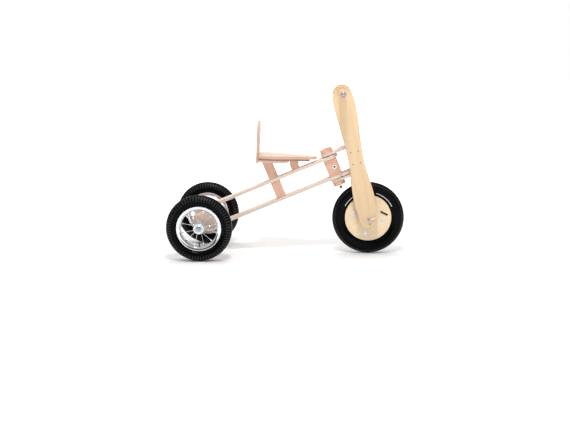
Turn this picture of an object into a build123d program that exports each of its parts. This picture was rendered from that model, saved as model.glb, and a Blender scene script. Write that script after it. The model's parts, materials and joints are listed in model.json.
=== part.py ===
"""Children's wooden tricycle: two tilted plywood planks, a bladed fork and three rubber-tyred wheels.

X runs forward, Y to the rider's left, Z up. The origin lies on the ground under the middle of the tricycle.
Most of the frame is drawn in tilted axes that start at the rear axle:
s runs forward along the planks, t runs up along the steering axis.
"""
from build123d import *
import os
from math import atan2, cos, degrees, hypot, radians, sin, sqrt, tan

os.makedirs("parts", exist_ok=True)

# ---------------------------------------------------------------- driving dimensions (mm)
WHEELBASE = 689.0
FRONT_TYRE_R = 150.0
REAR_TYRE_R = 134.5
TRACK = 360.0
PLANK_RISE = 22.5            # degrees, slope of both planks
REAR_X = -(WHEELBASE + FRONT_TYRE_R - REAR_TYRE_R) / 2
FRONT_X = REAR_X + WHEELBASE

PLY = 12.0                   # plank thickness
PLANK_LOW = -44.0            # underside of the lower plank, along t
PLANK_GAP = 73.0             # clear height between the planks
PLANK_REAR = -20.0
PLANK_HALF = 28.0
HEAD_S = 585.7               # steering axis, along s
HEAD_R = 37.0                # round front end of the planks

LOWER_TOP = PLANK_LOW + PLY
UPPER_LOW = LOWER_TOP + PLANK_GAP
UPPER_TOP = UPPER_LOW + PLY

STEER_GAP = 3.0              # between a plank and its steering plate
STEER_PLATE = 10.0
STEER_PLATE_R = 28.0
ROD_R = 4.0
RUN = 0.05                   # radial running clearance
CAP_R = 26.0
CAP_H = 19.0

BLADE_TILT = 12.4            # degrees, fork blades lean back
BLADE_T = 14.0
BLADE_IN = 43.0              # inner face of a blade from the middle
BLADE_OUT = BLADE_IN + BLADE_T
BAR_UP = 535.7               # handlebar above the front axle, along the blade
BAR_R = 16.0
BAR_HALF = 216.0
GRIP_START = 62.0            # a shallow groove beside each blade ends the bare grip

SEAT_DROP = 2.5              # degrees, seat slopes down to its nose
SEAT_BACK = 235.5            # rear end of the seat boards ahead of the rear axle
SEAT_Z = 416.3               # top of the seat at its rear end
SEAT_T = 12.0
LAYER_T = 9.0

REAR_AXLE_R = 6.0
HUB_HALF = 25.0
BEAM_HALF = 88.0             # half width of the rear axle block
SPOKES = 12


# ---------------------------------------------------------------- planes and helpers
def tilted(s, t):
    """Point of the middle plane at s along the planks and t along the steering axis."""
    rise = radians(PLANK_RISE)
    x = REAR_X + s * cos(rise) - t * sin(rise)
    z = REAR_TYRE_R + s * sin(rise) + t * cos(rise)
    return x, z


def untilted(x, z):
    """The s and t of a point given ahead of the rear axle and above the ground."""
    rise = radians(PLANK_RISE)
    up = z - REAR_TYRE_R
    return x * cos(rise) + up * sin(rise), up * cos(rise) - x * sin(rise)


P_DIR = Vector(cos(radians(PLANK_RISE)), 0, sin(radians(PLANK_RISE)))
T_DIR = Vector(-sin(radians(PLANK_RISE)), 0, cos(radians(PLANK_RISE)))


def frame_side(y=0.0):
    """Side view of the tilted frame: local x is s, local y is t, the normal is -Y."""
    return Plane(origin=(REAR_X, y, REAR_TYRE_R), x_dir=P_DIR, z_dir=(0, -1, 0))


def frame_plan(t, s=0.0):
    """View down the steering axis at height t: local x runs along s, local y is +Y."""
    x, z = tilted(s, t)
    return Plane(origin=(x, 0, z), x_dir=P_DIR, z_dir=T_DIR)


def blade_side(y=0.0):
    """Side view of a fork blade: local y climbs the blade from the front axle."""
    lean = radians(BLADE_TILT)
    return Plane(origin=(FRONT_X, y, FRONT_TYRE_R), x_dir=(cos(lean), 0, sin(lean)), z_dir=(0, -1, 0))


def seat_plan(depth):
    """Plan of the seat at a depth under its top: local x runs to the nose, local y is +Y."""
    drop = radians(SEAT_DROP)
    normal = Vector(sin(drop), 0, cos(drop))
    start = Vector(REAR_X + SEAT_BACK, 0, SEAT_Z) - normal * depth
    return Plane(origin=start, x_dir=(cos(drop), 0, -sin(drop)), z_dir=normal)


def seat_height(x, depth):
    """Height above the ground of the seat layer face at x ahead of the rear axle."""
    return SEAT_Z - depth / cos(radians(SEAT_DROP)) - (x - SEAT_BACK) * tan(radians(SEAT_DROP))


def side_plane(x, z, y=0.0):
    """Upright plane across the tricycle: local x is +X, local y is +Z, the normal is -Y."""
    return Plane(origin=(x, y, z), x_dir=(1, 0, 0), z_dir=(0, -1, 0))


def wheel_section(x, y, z):
    """Half section of a wheel: local x is the radius, local y runs along the axle."""
    return Plane(origin=(x, y, z), x_dir=(1, 0, 0), z_dir=(0, 0, 1))


def wheel_axis(x, z):
    """The axle line of a wheel."""
    return Axis((x, 0, z), (0, 1, 0))


def finish(builder, name):
    """Name a finished piece and write it."""
    builder.part.label = name
    export_step(builder.part, f"parts/{name}.step")


def countersunk(plane, length, head_r=4.0, shank_r=2.0):
    """Wood screw whose flat head is flush with the plane and whose shank runs against the normal."""
    with BuildPart() as screw:
        with BuildSketch(Plane(origin=plane.origin, x_dir=plane.x_dir, z_dir=plane.x_dir.cross(plane.z_dir))):
            with BuildLine():
                Polyline((0, 0), (head_r, 0), (shank_r, shank_r - head_r), (shank_r, 2 - length),
                         (0, -length), close=True)
            make_face()
        revolve(axis=Axis(plane.origin, plane.z_dir))
    return screw.part



def turned(plane, outline, name):
    """Piece turned about the plane's local y axis from an outline of (radius, height) points."""
    with BuildPart() as piece:
        with BuildSketch(plane):
            with BuildLine():
                Polyline(*outline, close=True)
            make_face()
        revolve(axis=Axis(plane.origin, plane.y_dir))
    piece.part.label = name
    return piece.part


def axle_sleeve(x, y_low, y_high, z, r_in, r_out):
    """Plain tube or disc round an axle line, from y_low to y_high."""
    with BuildPart() as sleeve:
        with BuildSketch(side_plane(x, z, y_high)):
            Circle(r_out)
            if r_in:
                Circle(r_in, mode=Mode.SUBTRACT)
        extrude(amount=y_high - y_low)
    return sleeve.part


def group(solids, name):
    """Write several like solids as one piece."""
    with BuildPart() as pieces:
        for solid in solids:
            add(solid)
    finish(pieces, name)
    return pieces.part


# ---------------------------------------------------------------- screws through the planks
REAR_POST_S = 341.0
FRONT_POST_S = 441.0
AXLE_BLOCK_S = 12.0

plank_screws = []
for post_s in (AXLE_BLOCK_S - 14, AXLE_BLOCK_S + 18, REAR_POST_S, HEAD_S - 17):
    for side_y in (-11, 11):
        seat_point = frame_plan(PLANK_LOW, post_s)
        origin = seat_point.origin + Vector(0, side_y, 0)
        plank_screws.append(countersunk(Plane(origin=origin, x_dir=(0, 1, 0), z_dir=-T_DIR), 34))
for post_s in (AXLE_BLOCK_S - 14, AXLE_BLOCK_S + 18, HEAD_S - 17):
    for side_y in (-11, 11):
        origin = frame_plan(UPPER_TOP, post_s).origin + Vector(0, side_y, 0)
        plank_screws.append(countersunk(Plane(origin=origin, x_dir=(0, 1, 0), z_dir=T_DIR), 34))
frame_screws = group(plank_screws, "frame_screws")


# ---------------------------------------------------------------- planks and head
BUSH_BARREL_R = 7.0
BUSH_DEPTH = 24.0
BUSH_FLANGE_R = 15.0
BUSH_FLANGE = STEER_GAP - 0.2
HEAD_BORE_R = 4.6
HEAD_LONG = 55.0
HEAD_HALF = 25.0


def plank(low):
    """Plywood plank: parallel behind, flaring to a round end about the steering axis."""
    with BuildPart() as board:
        with BuildSketch(frame_plan(low)):
            with BuildLine():
                near = Line((PLANK_REAR + 8, -PLANK_HALF), (HEAD_S - 90, -PLANK_HALF))
                flare = Spline(near @ 1, (HEAD_S, -HEAD_R), tangents=((1, 0), (1, 0)))
                nose = ThreePointArc(flare @ 1, (HEAD_S + HEAD_R, 0), (HEAD_S, HEAD_R))
                far_flare = Spline(nose @ 1, (HEAD_S - 90, PLANK_HALF), tangents=((-1, 0), (-1, 0)))
                far = Line(far_flare @ 1, (PLANK_REAR + 8, PLANK_HALF))
                corner = TangentArc(far @ 1, (PLANK_REAR, PLANK_HALF - 8), tangent=far % 1)
                back = Line(corner @ 1, (PLANK_REAR, 8 - PLANK_HALF))
                TangentArc(back @ 1, near @ 0, tangent=back % 1)
            make_face()
        extrude(amount=PLY)
        chamfer(board.edges().group_by(SortBy.LENGTH)[-1], 0.8)
        with BuildSketch(frame_plan(low, HEAD_S)):
            Circle(BUSH_BARREL_R)
        extrude(amount=PLY, mode=Mode.SUBTRACT)
        add(frame_screws, mode=Mode.SUBTRACT)
    return board


upper_plank = plank(UPPER_LOW)
finish(upper_plank, "upper_frame_plank")
lower_plank = plank(PLANK_LOW)
finish(lower_plank, "lower_frame_plank")


def head_bush(face, towards):
    """Flanged plastic bush; its flange fills the gap between plank and steering plate."""
    flange = face + towards * BUSH_FLANGE
    barrel = face - towards * BUSH_DEPTH
    base = frame_side()
    plane = Plane(origin=frame_plan(0, HEAD_S).origin, x_dir=base.x_dir, z_dir=base.z_dir)
    outline = [(ROD_R + RUN, barrel), (BUSH_BARREL_R, barrel), (BUSH_BARREL_R, face),
               (BUSH_FLANGE_R, face), (BUSH_FLANGE_R, flange), (ROD_R + RUN, flange)]
    return turned(plane, outline, "bush")


group([head_bush(UPPER_TOP, 1)], "upper_head_bush")
group([head_bush(PLANK_LOW, -1)], "lower_head_bush")

CROSS_S = HEAD_S + 8
CROSS_T = 4.0
CROSS_R = 2.5
cross_x, cross_z = tilted(CROSS_S, CROSS_T)

with BuildPart() as head_block:
    with BuildSketch(frame_plan(LOWER_TOP, HEAD_S)):
        RectangleRounded(HEAD_LONG, 2 * HEAD_HALF, 3)
    extrude(amount=PLANK_GAP)
    with BuildSketch(frame_plan(LOWER_TOP, HEAD_S)):
        Circle(HEAD_BORE_R)
    extrude(amount=PLANK_GAP, mode=Mode.SUBTRACT)
    for bore_low in (LOWER_TOP, UPPER_LOW + PLY - BUSH_DEPTH):
        with BuildSketch(frame_plan(bore_low, HEAD_S)):
            Circle(BUSH_BARREL_R)
        extrude(amount=BUSH_DEPTH - PLY, mode=Mode.SUBTRACT)
    with BuildSketch(side_plane(cross_x, cross_z, HEAD_HALF)):
        Circle(CROSS_R)
    extrude(amount=2 * HEAD_HALF, mode=Mode.SUBTRACT)
    add(frame_screws, mode=Mode.SUBTRACT)
finish(head_block, "head_block")


def connector(y_face, outward, length, bore):
    """Furniture connector: a flat round head on the face and a shank into the block."""
    with BuildPart() as piece:
        with BuildSketch(side_plane(cross_x, cross_z, y_face)):
            Circle(8.5)
        extrude(amount=-outward * 2.0)
        with BuildSketch(side_plane(cross_x, cross_z, y_face + outward * 2.0)):
            RegularPolygon(3.0, 6)
        extrude(amount=outward * 1.4, mode=Mode.SUBTRACT)
        with BuildSketch(side_plane(cross_x, cross_z, y_face)):
            Circle(CROSS_R)
            if bore:
                Circle(bore, mode=Mode.SUBTRACT)
        extrude(amount=outward * length)
    return piece.part


bolt_long = 2 * HEAD_HALF - 20
group([connector(-HEAD_HALF, -1, bolt_long, 0), connector(HEAD_HALF, 1, 19.5, 1.6)], "head_cross_fasteners")


# ---------------------------------------------------------------- rear axle
WHEEL_Y = TRACK / 2
BLOCK_HALF_S = 32.0
CHEEK_T = 12.0
BEAM_END = BEAM_HALF + CHEEK_T
HUB_IN = WHEEL_Y - HUB_HALF
HUB_OUT = WHEEL_Y + HUB_HALF

with BuildPart() as rear_block:
    with BuildSketch(frame_side(BEAM_HALF)):
        with Locations((AXLE_BLOCK_S, LOWER_TOP + PLANK_GAP / 2)):
            Rectangle(2 * BLOCK_HALF_S, PLANK_GAP)
    extrude(amount=2 * BEAM_HALF)
    with BuildSketch(side_plane(REAR_X, REAR_TYRE_R, BEAM_HALF)):
        Circle(REAR_AXLE_R)
    extrude(amount=2 * BEAM_HALF, mode=Mode.SUBTRACT)
    add(frame_screws, mode=Mode.SUBTRACT)
finish(rear_block, "rear_axle_block")


def cheek(y_outer):
    """Plywood end plate of the axle block with a round tail behind the axle."""
    mid = LOWER_TOP + PLANK_GAP / 2
    half = PLANK_GAP / 2 - 0.5
    with BuildPart() as plate:
        with BuildSketch(frame_side(y_outer)):
            with BuildLine():
                low = Line((2, mid - half), (50, mid - half))
                front = TangentArc(low @ 1, (58, mid - half + 8), tangent=low % 1)
                rise = Line(front @ 1, (58, mid + half - 8))
                top_corner = TangentArc(rise @ 1, (50, mid + half), tangent=rise % 1)
                top = Line(top_corner @ 1, (2, mid + half))
                ThreePointArc(top @ 1, (2 - half, mid), low @ 0)
            make_face()
            with Locations((0, 0)):
                Circle(REAR_AXLE_R, mode=Mode.SUBTRACT)
        extrude(amount=CHEEK_T)
    return plate.part


group([cheek(BEAM_END), cheek(-BEAM_HALF)], "axle_cheeks")
group([axle_sleeve(REAR_X, -HUB_OUT - 12, HUB_OUT + 12, REAR_TYRE_R, 0, REAR_AXLE_R)], "rear_axle")

spacers = []
for inner, outer in ((BEAM_END, HUB_IN - 0.2), (0.2 - HUB_IN, -BEAM_END)):
    spacers.append(axle_sleeve(REAR_X, inner, outer, REAR_TYRE_R, REAR_AXLE_R, 8.5))
group(spacers, "axle_spacers")


def axle_nut(side):
    """Domed nut on the end of the rear axle."""
    face = HUB_OUT + 0.2
    plane = wheel_section(REAR_X, 0, REAR_TYRE_R)
    outline = [(REAR_AXLE_R, side * face), (10.5, side * face), (10.5, side * (face + 1.5)),
               (9.0, side * (face + 1.6)), (9.0, side * (face + 10)), (6.5, side * (face + 14.5)),
               (0, side * (face + 15.8)), (0, side * (HUB_OUT + 12)), (REAR_AXLE_R, side * (HUB_OUT + 12))]
    return turned(plane, outline, "nut")


group([axle_nut(-1), axle_nut(1)], "axle_nuts")


# ---------------------------------------------------------------- posts and seat
POST_HALF = 20.0


def post(corners, half, name):
    """Solid wood post drawn in the tilted side view and cut flat on both sides."""
    with BuildPart() as piece:
        with BuildSketch(frame_side(half)):
            with BuildLine():
                Polyline(*corners, close=True)
            make_face()
        extrude(amount=2 * half)
        chamfer(piece.edges().filter_by(lambda e: abs(e.tangent_at(0.5).dot(T_DIR)) > 0.99), 1.5)
        add(frame_screws, mode=Mode.SUBTRACT)
    finish(piece, name)
    return piece.part


def under_seat(s, depth):
    """The t at which a line along t at this s meets a seat layer face."""
    rise = radians(PLANK_RISE)
    low_z = REAR_TYRE_R + s * sin(rise)
    climb = cos(rise) - sin(rise) * tan(radians(SEAT_DROP))
    return (seat_height(s * cos(rise), depth) - low_z) / climb


STACK = SEAT_T + 2 * LAYER_T
rear_low, rear_high = REAR_POST_S - 19, REAR_POST_S + 19
post([(rear_low, LOWER_TOP), (rear_high, LOWER_TOP), (rear_high, UPPER_LOW), (rear_low, UPPER_LOW)],
     POST_HALF, "rear_post_lower")
post([(rear_low, UPPER_TOP), (rear_high, UPPER_TOP), (rear_high, under_seat(rear_high, STACK)),
      (rear_low, under_seat(rear_low, STACK))], POST_HALF, "rear_post_upper")

front_low, front_high = FRONT_POST_S - 16.5, FRONT_POST_S + 16.5
WEDGE_BACK = (362.0, 370.5)
WEDGE_FRONT = (398.0, 375.5)
slope_t = [untilted(*WEDGE_BACK), untilted(*WEDGE_FRONT)]
slope = (slope_t[1][1] - slope_t[0][1]) / (slope_t[1][0] - slope_t[0][0])
top_low = slope_t[0][1] + slope * (front_low - slope_t[0][0])
top_high = slope_t[0][1] + slope * (front_high - slope_t[0][0])
post([(front_low, UPPER_TOP), (front_high, UPPER_TOP), (front_high, top_high), (front_low, top_low)],
     POST_HALF - 4, "front_post")

seat_screw_solids = []
for along, side_y, depth in ((40, -14, 0), (40, 14, 0), (142, -9, 0), (142, 9, 0)):
    head = seat_plan(depth)
    origin = head.from_local_coords((along, side_y, 0))
    seat_screw_solids.append(countersunk(Plane(origin=origin, x_dir=(0, 1, 0), z_dir=head.z_dir), 28))
seat_screws = group(seat_screw_solids, "seat_screws")

with BuildPart() as wedge:
    with BuildSketch(side_plane(REAR_X, 0, POST_HALF)):
        with BuildLine():
            Polyline(WEDGE_BACK, WEDGE_FRONT,
                     (WEDGE_FRONT[0], seat_height(WEDGE_FRONT[0], SEAT_T + LAYER_T)),
                     (WEDGE_BACK[0], seat_height(WEDGE_BACK[0], SEAT_T + LAYER_T)), close=True)
        make_face()
    extrude(amount=2 * POST_HALF)
    add(seat_screws, mode=Mode.SUBTRACT)
finish(wedge, "seat_wedge")

back_screw_solids = []
for side_y in (-24, 24):
    for depth in (6.0, 25.5):
        origin = seat_plan(depth).from_local_coords((-SEAT_T, side_y, 0))
        back_plane = Plane(origin=origin, x_dir=(0, 1, 0), z_dir=-seat_plan(0).x_dir)
        back_screw_solids.append(countersunk(back_plane, 30))
backrest_screws = group(back_screw_solids, "backrest_screws")


def seat_layer(depth, thick, length, rear_half, nose_half, edge, name):
    """Saddle-shaped board: wide behind, narrowing to a round nose."""
    with BuildPart() as board:
        with BuildSketch(seat_plan(depth + thick)):
            with BuildLine():
                left = Spline((0, rear_half * 0.86), (length * 0.24, rear_half), (length * 0.62, nose_half * 1.45),
                              (length - nose_half, nose_half), tangents=((1, 0.35), (1, 0)))
                nose = ThreePointArc(left @ 1, (length, 0), (length - nose_half, -nose_half))
                right = Spline(nose @ 1, (length * 0.62, -nose_half * 1.45), (length * 0.24, -rear_half),
                               (0, -rear_half * 0.86), tangents=((-1, 0), (-1, 0.35)))
                Line(right @ 1, left @ 0)
            make_face()
        extrude(amount=thick)
        if edge:
            fillet(board.faces().sort_by(Axis(seat_plan(0).origin, seat_plan(0).z_dir))[-1].edges(), edge)
        add(seat_screws, mode=Mode.SUBTRACT)
        add(backrest_screws, mode=Mode.SUBTRACT)
    finish(board, name)


seat_layer(0, SEAT_T, 238.5, 71, 29, 2.5, "seat_board")
seat_layer(SEAT_T, LAYER_T, 210, 62, 22, 0, "seat_support_board")

with BuildPart() as base_plate:
    with BuildSketch(seat_plan(STACK)):
        with BuildLine():
            side_line = Line((0, -52), (70, -56))
            side_curve = Spline(side_line @ 1, (124, -26), tangents=((1, 0), (1, 0.3)))
            front_line = Line(side_curve @ 1, (124, 26))
            far_curve = Spline(front_line @ 1, (70, 56), tangents=((-1, 0.3), (-1, 0)))
            far_line = Line(far_curve @ 1, (0, 52))
            Line(far_line @ 1, side_line @ 0)
        make_face()
    extrude(amount=LAYER_T)
    add(seat_screws, mode=Mode.SUBTRACT)
    add(backrest_screws, mode=Mode.SUBTRACT)
finish(base_plate, "seat_base_plate")

with BuildPart() as backrest:
    back_base = seat_plan(0)
    back_plane = Plane(origin=back_base.origin, x_dir=(0, -1, 0), z_dir=-back_base.x_dir)
    with BuildSketch(back_plane):
        with BuildLine():
            foot = Line((-38, -36), (38, -36))
            right_side = Spline(foot @ 1, (40, 10), (50, 88), tangents=((0.05, 1), (0, 1)))
            crown = ThreePointArc(right_side @ 1, (0, 138), (-50, 88))
            Spline(crown @ 1, (-40, 10), foot @ 0, tangents=((0, -1), (0.05, -1)))
        make_face()
    extrude(amount=SEAT_T)
    back_faces = backrest.faces().sort_by(Axis(back_base.origin, back_base.x_dir))
    fillet(back_faces[0].edges() + back_faces[-1].edges(), 2.5)
    add(backrest_screws, mode=Mode.SUBTRACT)
finish(backrest, "backrest")


# ---------------------------------------------------------------- fork
BLOCK_LOW = 186.0            # fork block, along the blade
BLOCK_HIGH = 316.0
BLOCK_HALF_X = 24.5
PLATE_UP_LOW = UPPER_TOP + STEER_GAP
PLATE_UP_TOP = PLATE_UP_LOW + STEER_PLATE
PLATE_LOW_TOP = PLANK_LOW - STEER_GAP
PLATE_LOW_LOW = PLATE_LOW_TOP - STEER_PLATE
BOLT_R = 2.5
BOLT_UP = 204.5              # where the bolt runs through the block, along the blade

blade_screw_solids = []
for side in (-1, 1):
    for across, up, long in ((-16, 289, 30), (16, 289, 30), (-16, 239, 30), (16, 239, 30), (3, -20, 12)):
        origin = blade_side(side * BLADE_OUT).from_local_coords((across, up, 0))
        screw_plane = Plane(origin=origin, x_dir=(1, 0, 0), z_dir=(0, side, 0))
        blade_screw_solids.append(countersunk(screw_plane, long, 2.6, 1.5))
fork_screws = group(blade_screw_solids, "fork_side_screws")

FRONT_AXLE_R = 5.0


def fork_blade(y_outer):
    """Fork blade: bulging round the axle and the handlebar, with a narrow waist between."""
    with BuildPart() as blade:
        with BuildSketch(blade_side(y_outer)):
            with BuildLine():
                rear = Spline((-38, 2), (-43.6, 88), (-33.7, 208), (-33.7, 312), (-43.3, 455), (-38.5, 523),
                              tangents=((0, 1), (0.25, 1)))
                top = ThreePointArc(rear @ 1, (0, 562), (38.5, 523))
                front = Spline(top @ 1, (43.3, 455), (33.7, 312), (33.7, 208), (43.6, 88), (38, 2),
                               tangents=((0.25, -1), (0, -1)))
                ThreePointArc(front @ 1, (0, -36), rear @ 0)
            make_face()
            with Locations((0, 0)):
                Circle(FRONT_AXLE_R, mode=Mode.SUBTRACT)
            with Locations((1.6, BAR_UP)):
                Circle(BAR_R, mode=Mode.SUBTRACT)
        extrude(amount=BLADE_T)
        outline = blade.edges().filter_by(GeomType.BSPLINE)
        arcs = blade.edges().filter_by(GeomType.CIRCLE).filter_by(lambda e: e.radius > 30)
        chamfer(outline + arcs, 1.2)
        add(fork_screws, mode=Mode.SUBTRACT)
    return blade


blade_left = fork_blade(BLADE_OUT)
finish(blade_left, "fork_blade_left")
blade_right = fork_blade(-BLADE_IN)
finish(blade_right, "fork_blade_right")

bolt_plane = blade_side()
bolt_head = bolt_plane.from_local_coords((BLOCK_HALF_X, BOLT_UP, 0))
BOLT_INTO_PLATE = 16.0
bolt_view = Plane(origin=bolt_head, x_dir=bolt_plane.y_dir, z_dir=bolt_plane.z_dir)
bolt_outline = [(0, 2 * BLOCK_HALF_X + BOLT_INTO_PLATE), (0, -6.5), (4.5, -6.5), (4.5, -1.6), (9, -1.6),
                (9, 0), (BOLT_R, 0), (BOLT_R, 2 * BLOCK_HALF_X + BOLT_INTO_PLATE)]
fork_bolt = turned(bolt_view, bolt_outline, "fork_block_bolt")
group([fork_bolt], "fork_block_bolt")

with BuildPart() as fork_block:
    with BuildSketch(blade_side(BLADE_IN)):
        with Locations((0, (BLOCK_LOW + BLOCK_HIGH) / 2)):
            Rectangle(2 * BLOCK_HALF_X, BLOCK_HIGH - BLOCK_LOW)
    extrude(amount=2 * BLADE_IN)
    split(bisect_by=frame_plan(PLATE_UP_LOW), keep=Keep.BOTTOM)
    add(fork_screws, mode=Mode.SUBTRACT)
    add(fork_bolt, mode=Mode.SUBTRACT)
finish(fork_block, "fork_block")


def steering_plate(low, front, name):
    """Plate from the steering axis to the fork block, round behind and as wide as the fork in front."""
    wide = BLADE_IN - 0.2
    with BuildPart() as plate:
        with BuildSketch(frame_plan(low)):
            with BuildLine():
                right = Line((front, -wide), (front - 44, -wide))
                neck = Spline(right @ 1, (HEAD_S, -STEER_PLATE_R), tangents=((-1, 0), (-1, 0)))
                tail = ThreePointArc(neck @ 1, (HEAD_S - STEER_PLATE_R, 0), (HEAD_S, STEER_PLATE_R))
                neck_far = Spline(tail @ 1, (front - 44, wide), tangents=((1, 0), (1, 0)))
                left = Line(neck_far @ 1, (front, wide))
                Line(left @ 1, right @ 0)
            make_face()
            with Locations((HEAD_S, 0)):
                Circle(ROD_R, mode=Mode.SUBTRACT)
        extrude(amount=STEER_PLATE)
        chamfer(plate.edges().group_by(SortBy.LENGTH)[-1], 0.8)
        if low < 0:
            add(fork_block.part, mode=Mode.SUBTRACT)
            add(fork_bolt, mode=Mode.SUBTRACT)
    finish(plate, name)


steering_plate(PLATE_UP_LOW, 719.0, "upper_steering_plate")
steering_plate(PLATE_LOW_LOW, 670.0, "lower_steering_plate")

STOP_R = HEAD_R + 1.4
STOP_HALF = 31.0
horn = sqrt(STOP_R ** 2 - STOP_HALF ** 2)
with BuildPart() as stop_block:
    with BuildSketch(frame_plan(PLANK_LOW)):
        with BuildLine():
            cradle = ThreePointArc((HEAD_S + horn, STOP_HALF), (HEAD_S + STOP_R, 0), (HEAD_S + horn, -STOP_HALF))
            tip = ThreePointArc(cradle @ 1, (HEAD_S + horn + 2, -STOP_HALF - 3.4), (HEAD_S + horn + 7, -STOP_HALF - 5))
            flank = Line(tip @ 1, (670, -STOP_HALF - 5))
            front_face = Line(flank @ 1, (670, STOP_HALF + 5))
            far_flank = Line(front_face @ 1, (HEAD_S + horn + 7, STOP_HALF + 5))
            ThreePointArc(far_flank @ 1, (HEAD_S + horn + 2, STOP_HALF + 3.4), cradle @ 0)
        make_face()
    extrude(amount=PLY)
    add(fork_block.part, mode=Mode.SUBTRACT)
    add(fork_bolt, mode=Mode.SUBTRACT)
finish(stop_block, "fork_stop_block")

COUNTERBORE_R = 9.0
COUNTERBORE = 7.0


def rod_cap_block(low, mouth_up, name):
    """Round wooden cap on the steering rod with a counterbore for its head or nut."""
    with BuildPart() as cap:
        with BuildSketch(frame_plan(low, HEAD_S)):
            Circle(CAP_R)
        extrude(amount=CAP_H)
        rims = cap.edges().sort_by(Axis(frame_plan(0, HEAD_S).origin, T_DIR))
        chamfer(rims[-1 if mouth_up else 0], 2)
        with BuildSketch(frame_plan(low, HEAD_S)):
            Circle(ROD_R)
        extrude(amount=CAP_H, mode=Mode.SUBTRACT)
        with BuildSketch(frame_plan(low + CAP_H - COUNTERBORE if mouth_up else low, HEAD_S)):
            Circle(COUNTERBORE_R)
        extrude(amount=COUNTERBORE, mode=Mode.SUBTRACT)
    finish(cap, name)


TOP_SEAT = PLATE_UP_TOP + CAP_H - COUNTERBORE
CAP_LOW = PLATE_LOW_LOW - CAP_H
NUT_H = 6.5
ROD_END = CAP_LOW - 14.0
rod_cap_block(PLATE_UP_TOP, True, "top_cap_block")
rod_cap_block(CAP_LOW, False, "bottom_cap_block")

with BuildPart() as rod:
    with BuildSketch(frame_plan(ROD_END, HEAD_S)):
        Circle(ROD_R)
    extrude(amount=TOP_SEAT - ROD_END)
    with BuildSketch(frame_plan(TOP_SEAT, HEAD_S)):
        Circle(7.0)
    extrude(amount=5.0)
    fillet(rod.edges().sort_by(Axis(frame_plan(0, HEAD_S).origin, T_DIR))[-1], 2)
    with BuildSketch(frame_plan(TOP_SEAT + 5.0, HEAD_S)):
        RegularPolygon(2.5, 6)
    extrude(amount=-3.0, mode=Mode.SUBTRACT)
finish(rod, "steering_rod")

with BuildPart() as rod_nut:
    with BuildSketch(frame_plan(CAP_LOW + COUNTERBORE - NUT_H, HEAD_S)):
        RegularPolygon(7.5, 6)
        Circle(ROD_R, mode=Mode.SUBTRACT)
    extrude(amount=NUT_H)
finish(rod_nut, "rod_nut")

with BuildPart() as end_cap:
    with BuildSketch(frame_plan(ROD_END - 2.0, HEAD_S)):
        Circle(ROD_R + 1.6)
    extrude(amount=9.0)
    fillet(end_cap.edges().sort_by(Axis(frame_plan(0, HEAD_S).origin, T_DIR))[0], 1.5)
    with BuildSketch(frame_plan(ROD_END, HEAD_S)):
        Circle(ROD_R)
    extrude(amount=7.0, mode=Mode.SUBTRACT)
finish(end_cap, "rod_end_cap")

bar_centre = blade_side().from_local_coords((1.6, BAR_UP, 0))
BUTTON_R = 10.5
BUTTON_OUT = 4.0
SPIGOT_R = 4.0
SPIGOT_LONG = 18.0
GROOVE = 2.0
GROOVE_DEEP = 1.0
with BuildPart() as handlebar:
    with BuildSketch(side_plane(bar_centre.X, bar_centre.Z, BAR_HALF)):
        Circle(BAR_R)
    extrude(amount=2 * BAR_HALF)
    fillet(handlebar.edges().filter_by(GeomType.CIRCLE), 3)
    for end in (-1, 1):
        with BuildSketch(side_plane(bar_centre.X, bar_centre.Z, end * BAR_HALF)):
            Circle(SPIGOT_R)
        extrude(amount=end * SPIGOT_LONG, mode=Mode.SUBTRACT)
        groove_face = GRIP_START if end > 0 else GROOVE - GRIP_START
        with BuildSketch(side_plane(bar_centre.X, bar_centre.Z, groove_face)):
            Circle(BAR_R)
            Circle(BAR_R - GROOVE_DEEP, mode=Mode.SUBTRACT)
        extrude(amount=GROOVE, mode=Mode.SUBTRACT)
finish(handlebar, "handlebar")


def end_button(side):
    """Metal button on the end of the handlebar, with a spigot in the end grain."""
    plane = Plane(origin=bar_centre, x_dir=(1, 0, 0), z_dir=(0, 0, 1))
    outline = [(0, side * (BAR_HALF - SPIGOT_LONG)), (SPIGOT_R, side * (BAR_HALF - SPIGOT_LONG)),
               (SPIGOT_R, side * BAR_HALF),
               (BUTTON_R, side * BAR_HALF), (BUTTON_R, side * (BAR_HALF + 1.2)),
               (7.5, side * (BAR_HALF + 3)), (0, side * (BAR_HALF + BUTTON_OUT))]
    return turned(plane, outline, "button")


group([end_button(-1), end_button(1)], "handlebar_end_buttons")


# ---------------------------------------------------------------- front axle and its quick release
HUB_SHELL = 30.0
SKEWER_CUP = 3.0
LEVER_GAP = 0.3
LEVER_HEAD_R = 5.0
LEVER_LONG = 30.0

front_view = wheel_section(FRONT_X, 0, FRONT_TYRE_R)
axle_outline = [(0, -BLADE_OUT - SKEWER_CUP), (7.5, -BLADE_OUT - SKEWER_CUP), (7.5, -BLADE_OUT),
                (FRONT_AXLE_R, -BLADE_OUT), (FRONT_AXLE_R, BLADE_OUT + 8), (0, BLADE_OUT + 8)]
group([turned(front_view, axle_outline, "axle")], "front_axle")

axle_rings = []
for inner, outer in ((HUB_SHELL + 0.2, BLADE_IN), (-BLADE_IN, -HUB_SHELL - 0.2)):
    axle_rings.append(axle_sleeve(FRONT_X, inner, outer, FRONT_TYRE_R, FRONT_AXLE_R, 8.0))
group(axle_rings, "front_axle_spacers")

with BuildPart() as axle_nut_front:
    with BuildSketch(side_plane(FRONT_X, FRONT_TYRE_R, BLADE_OUT + 8)):
        RegularPolygon(9.0, 6)
        Circle(FRONT_AXLE_R, mode=Mode.SUBTRACT)
    extrude(amount=8)
finish(axle_nut_front, "front_axle_nut")

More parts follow.
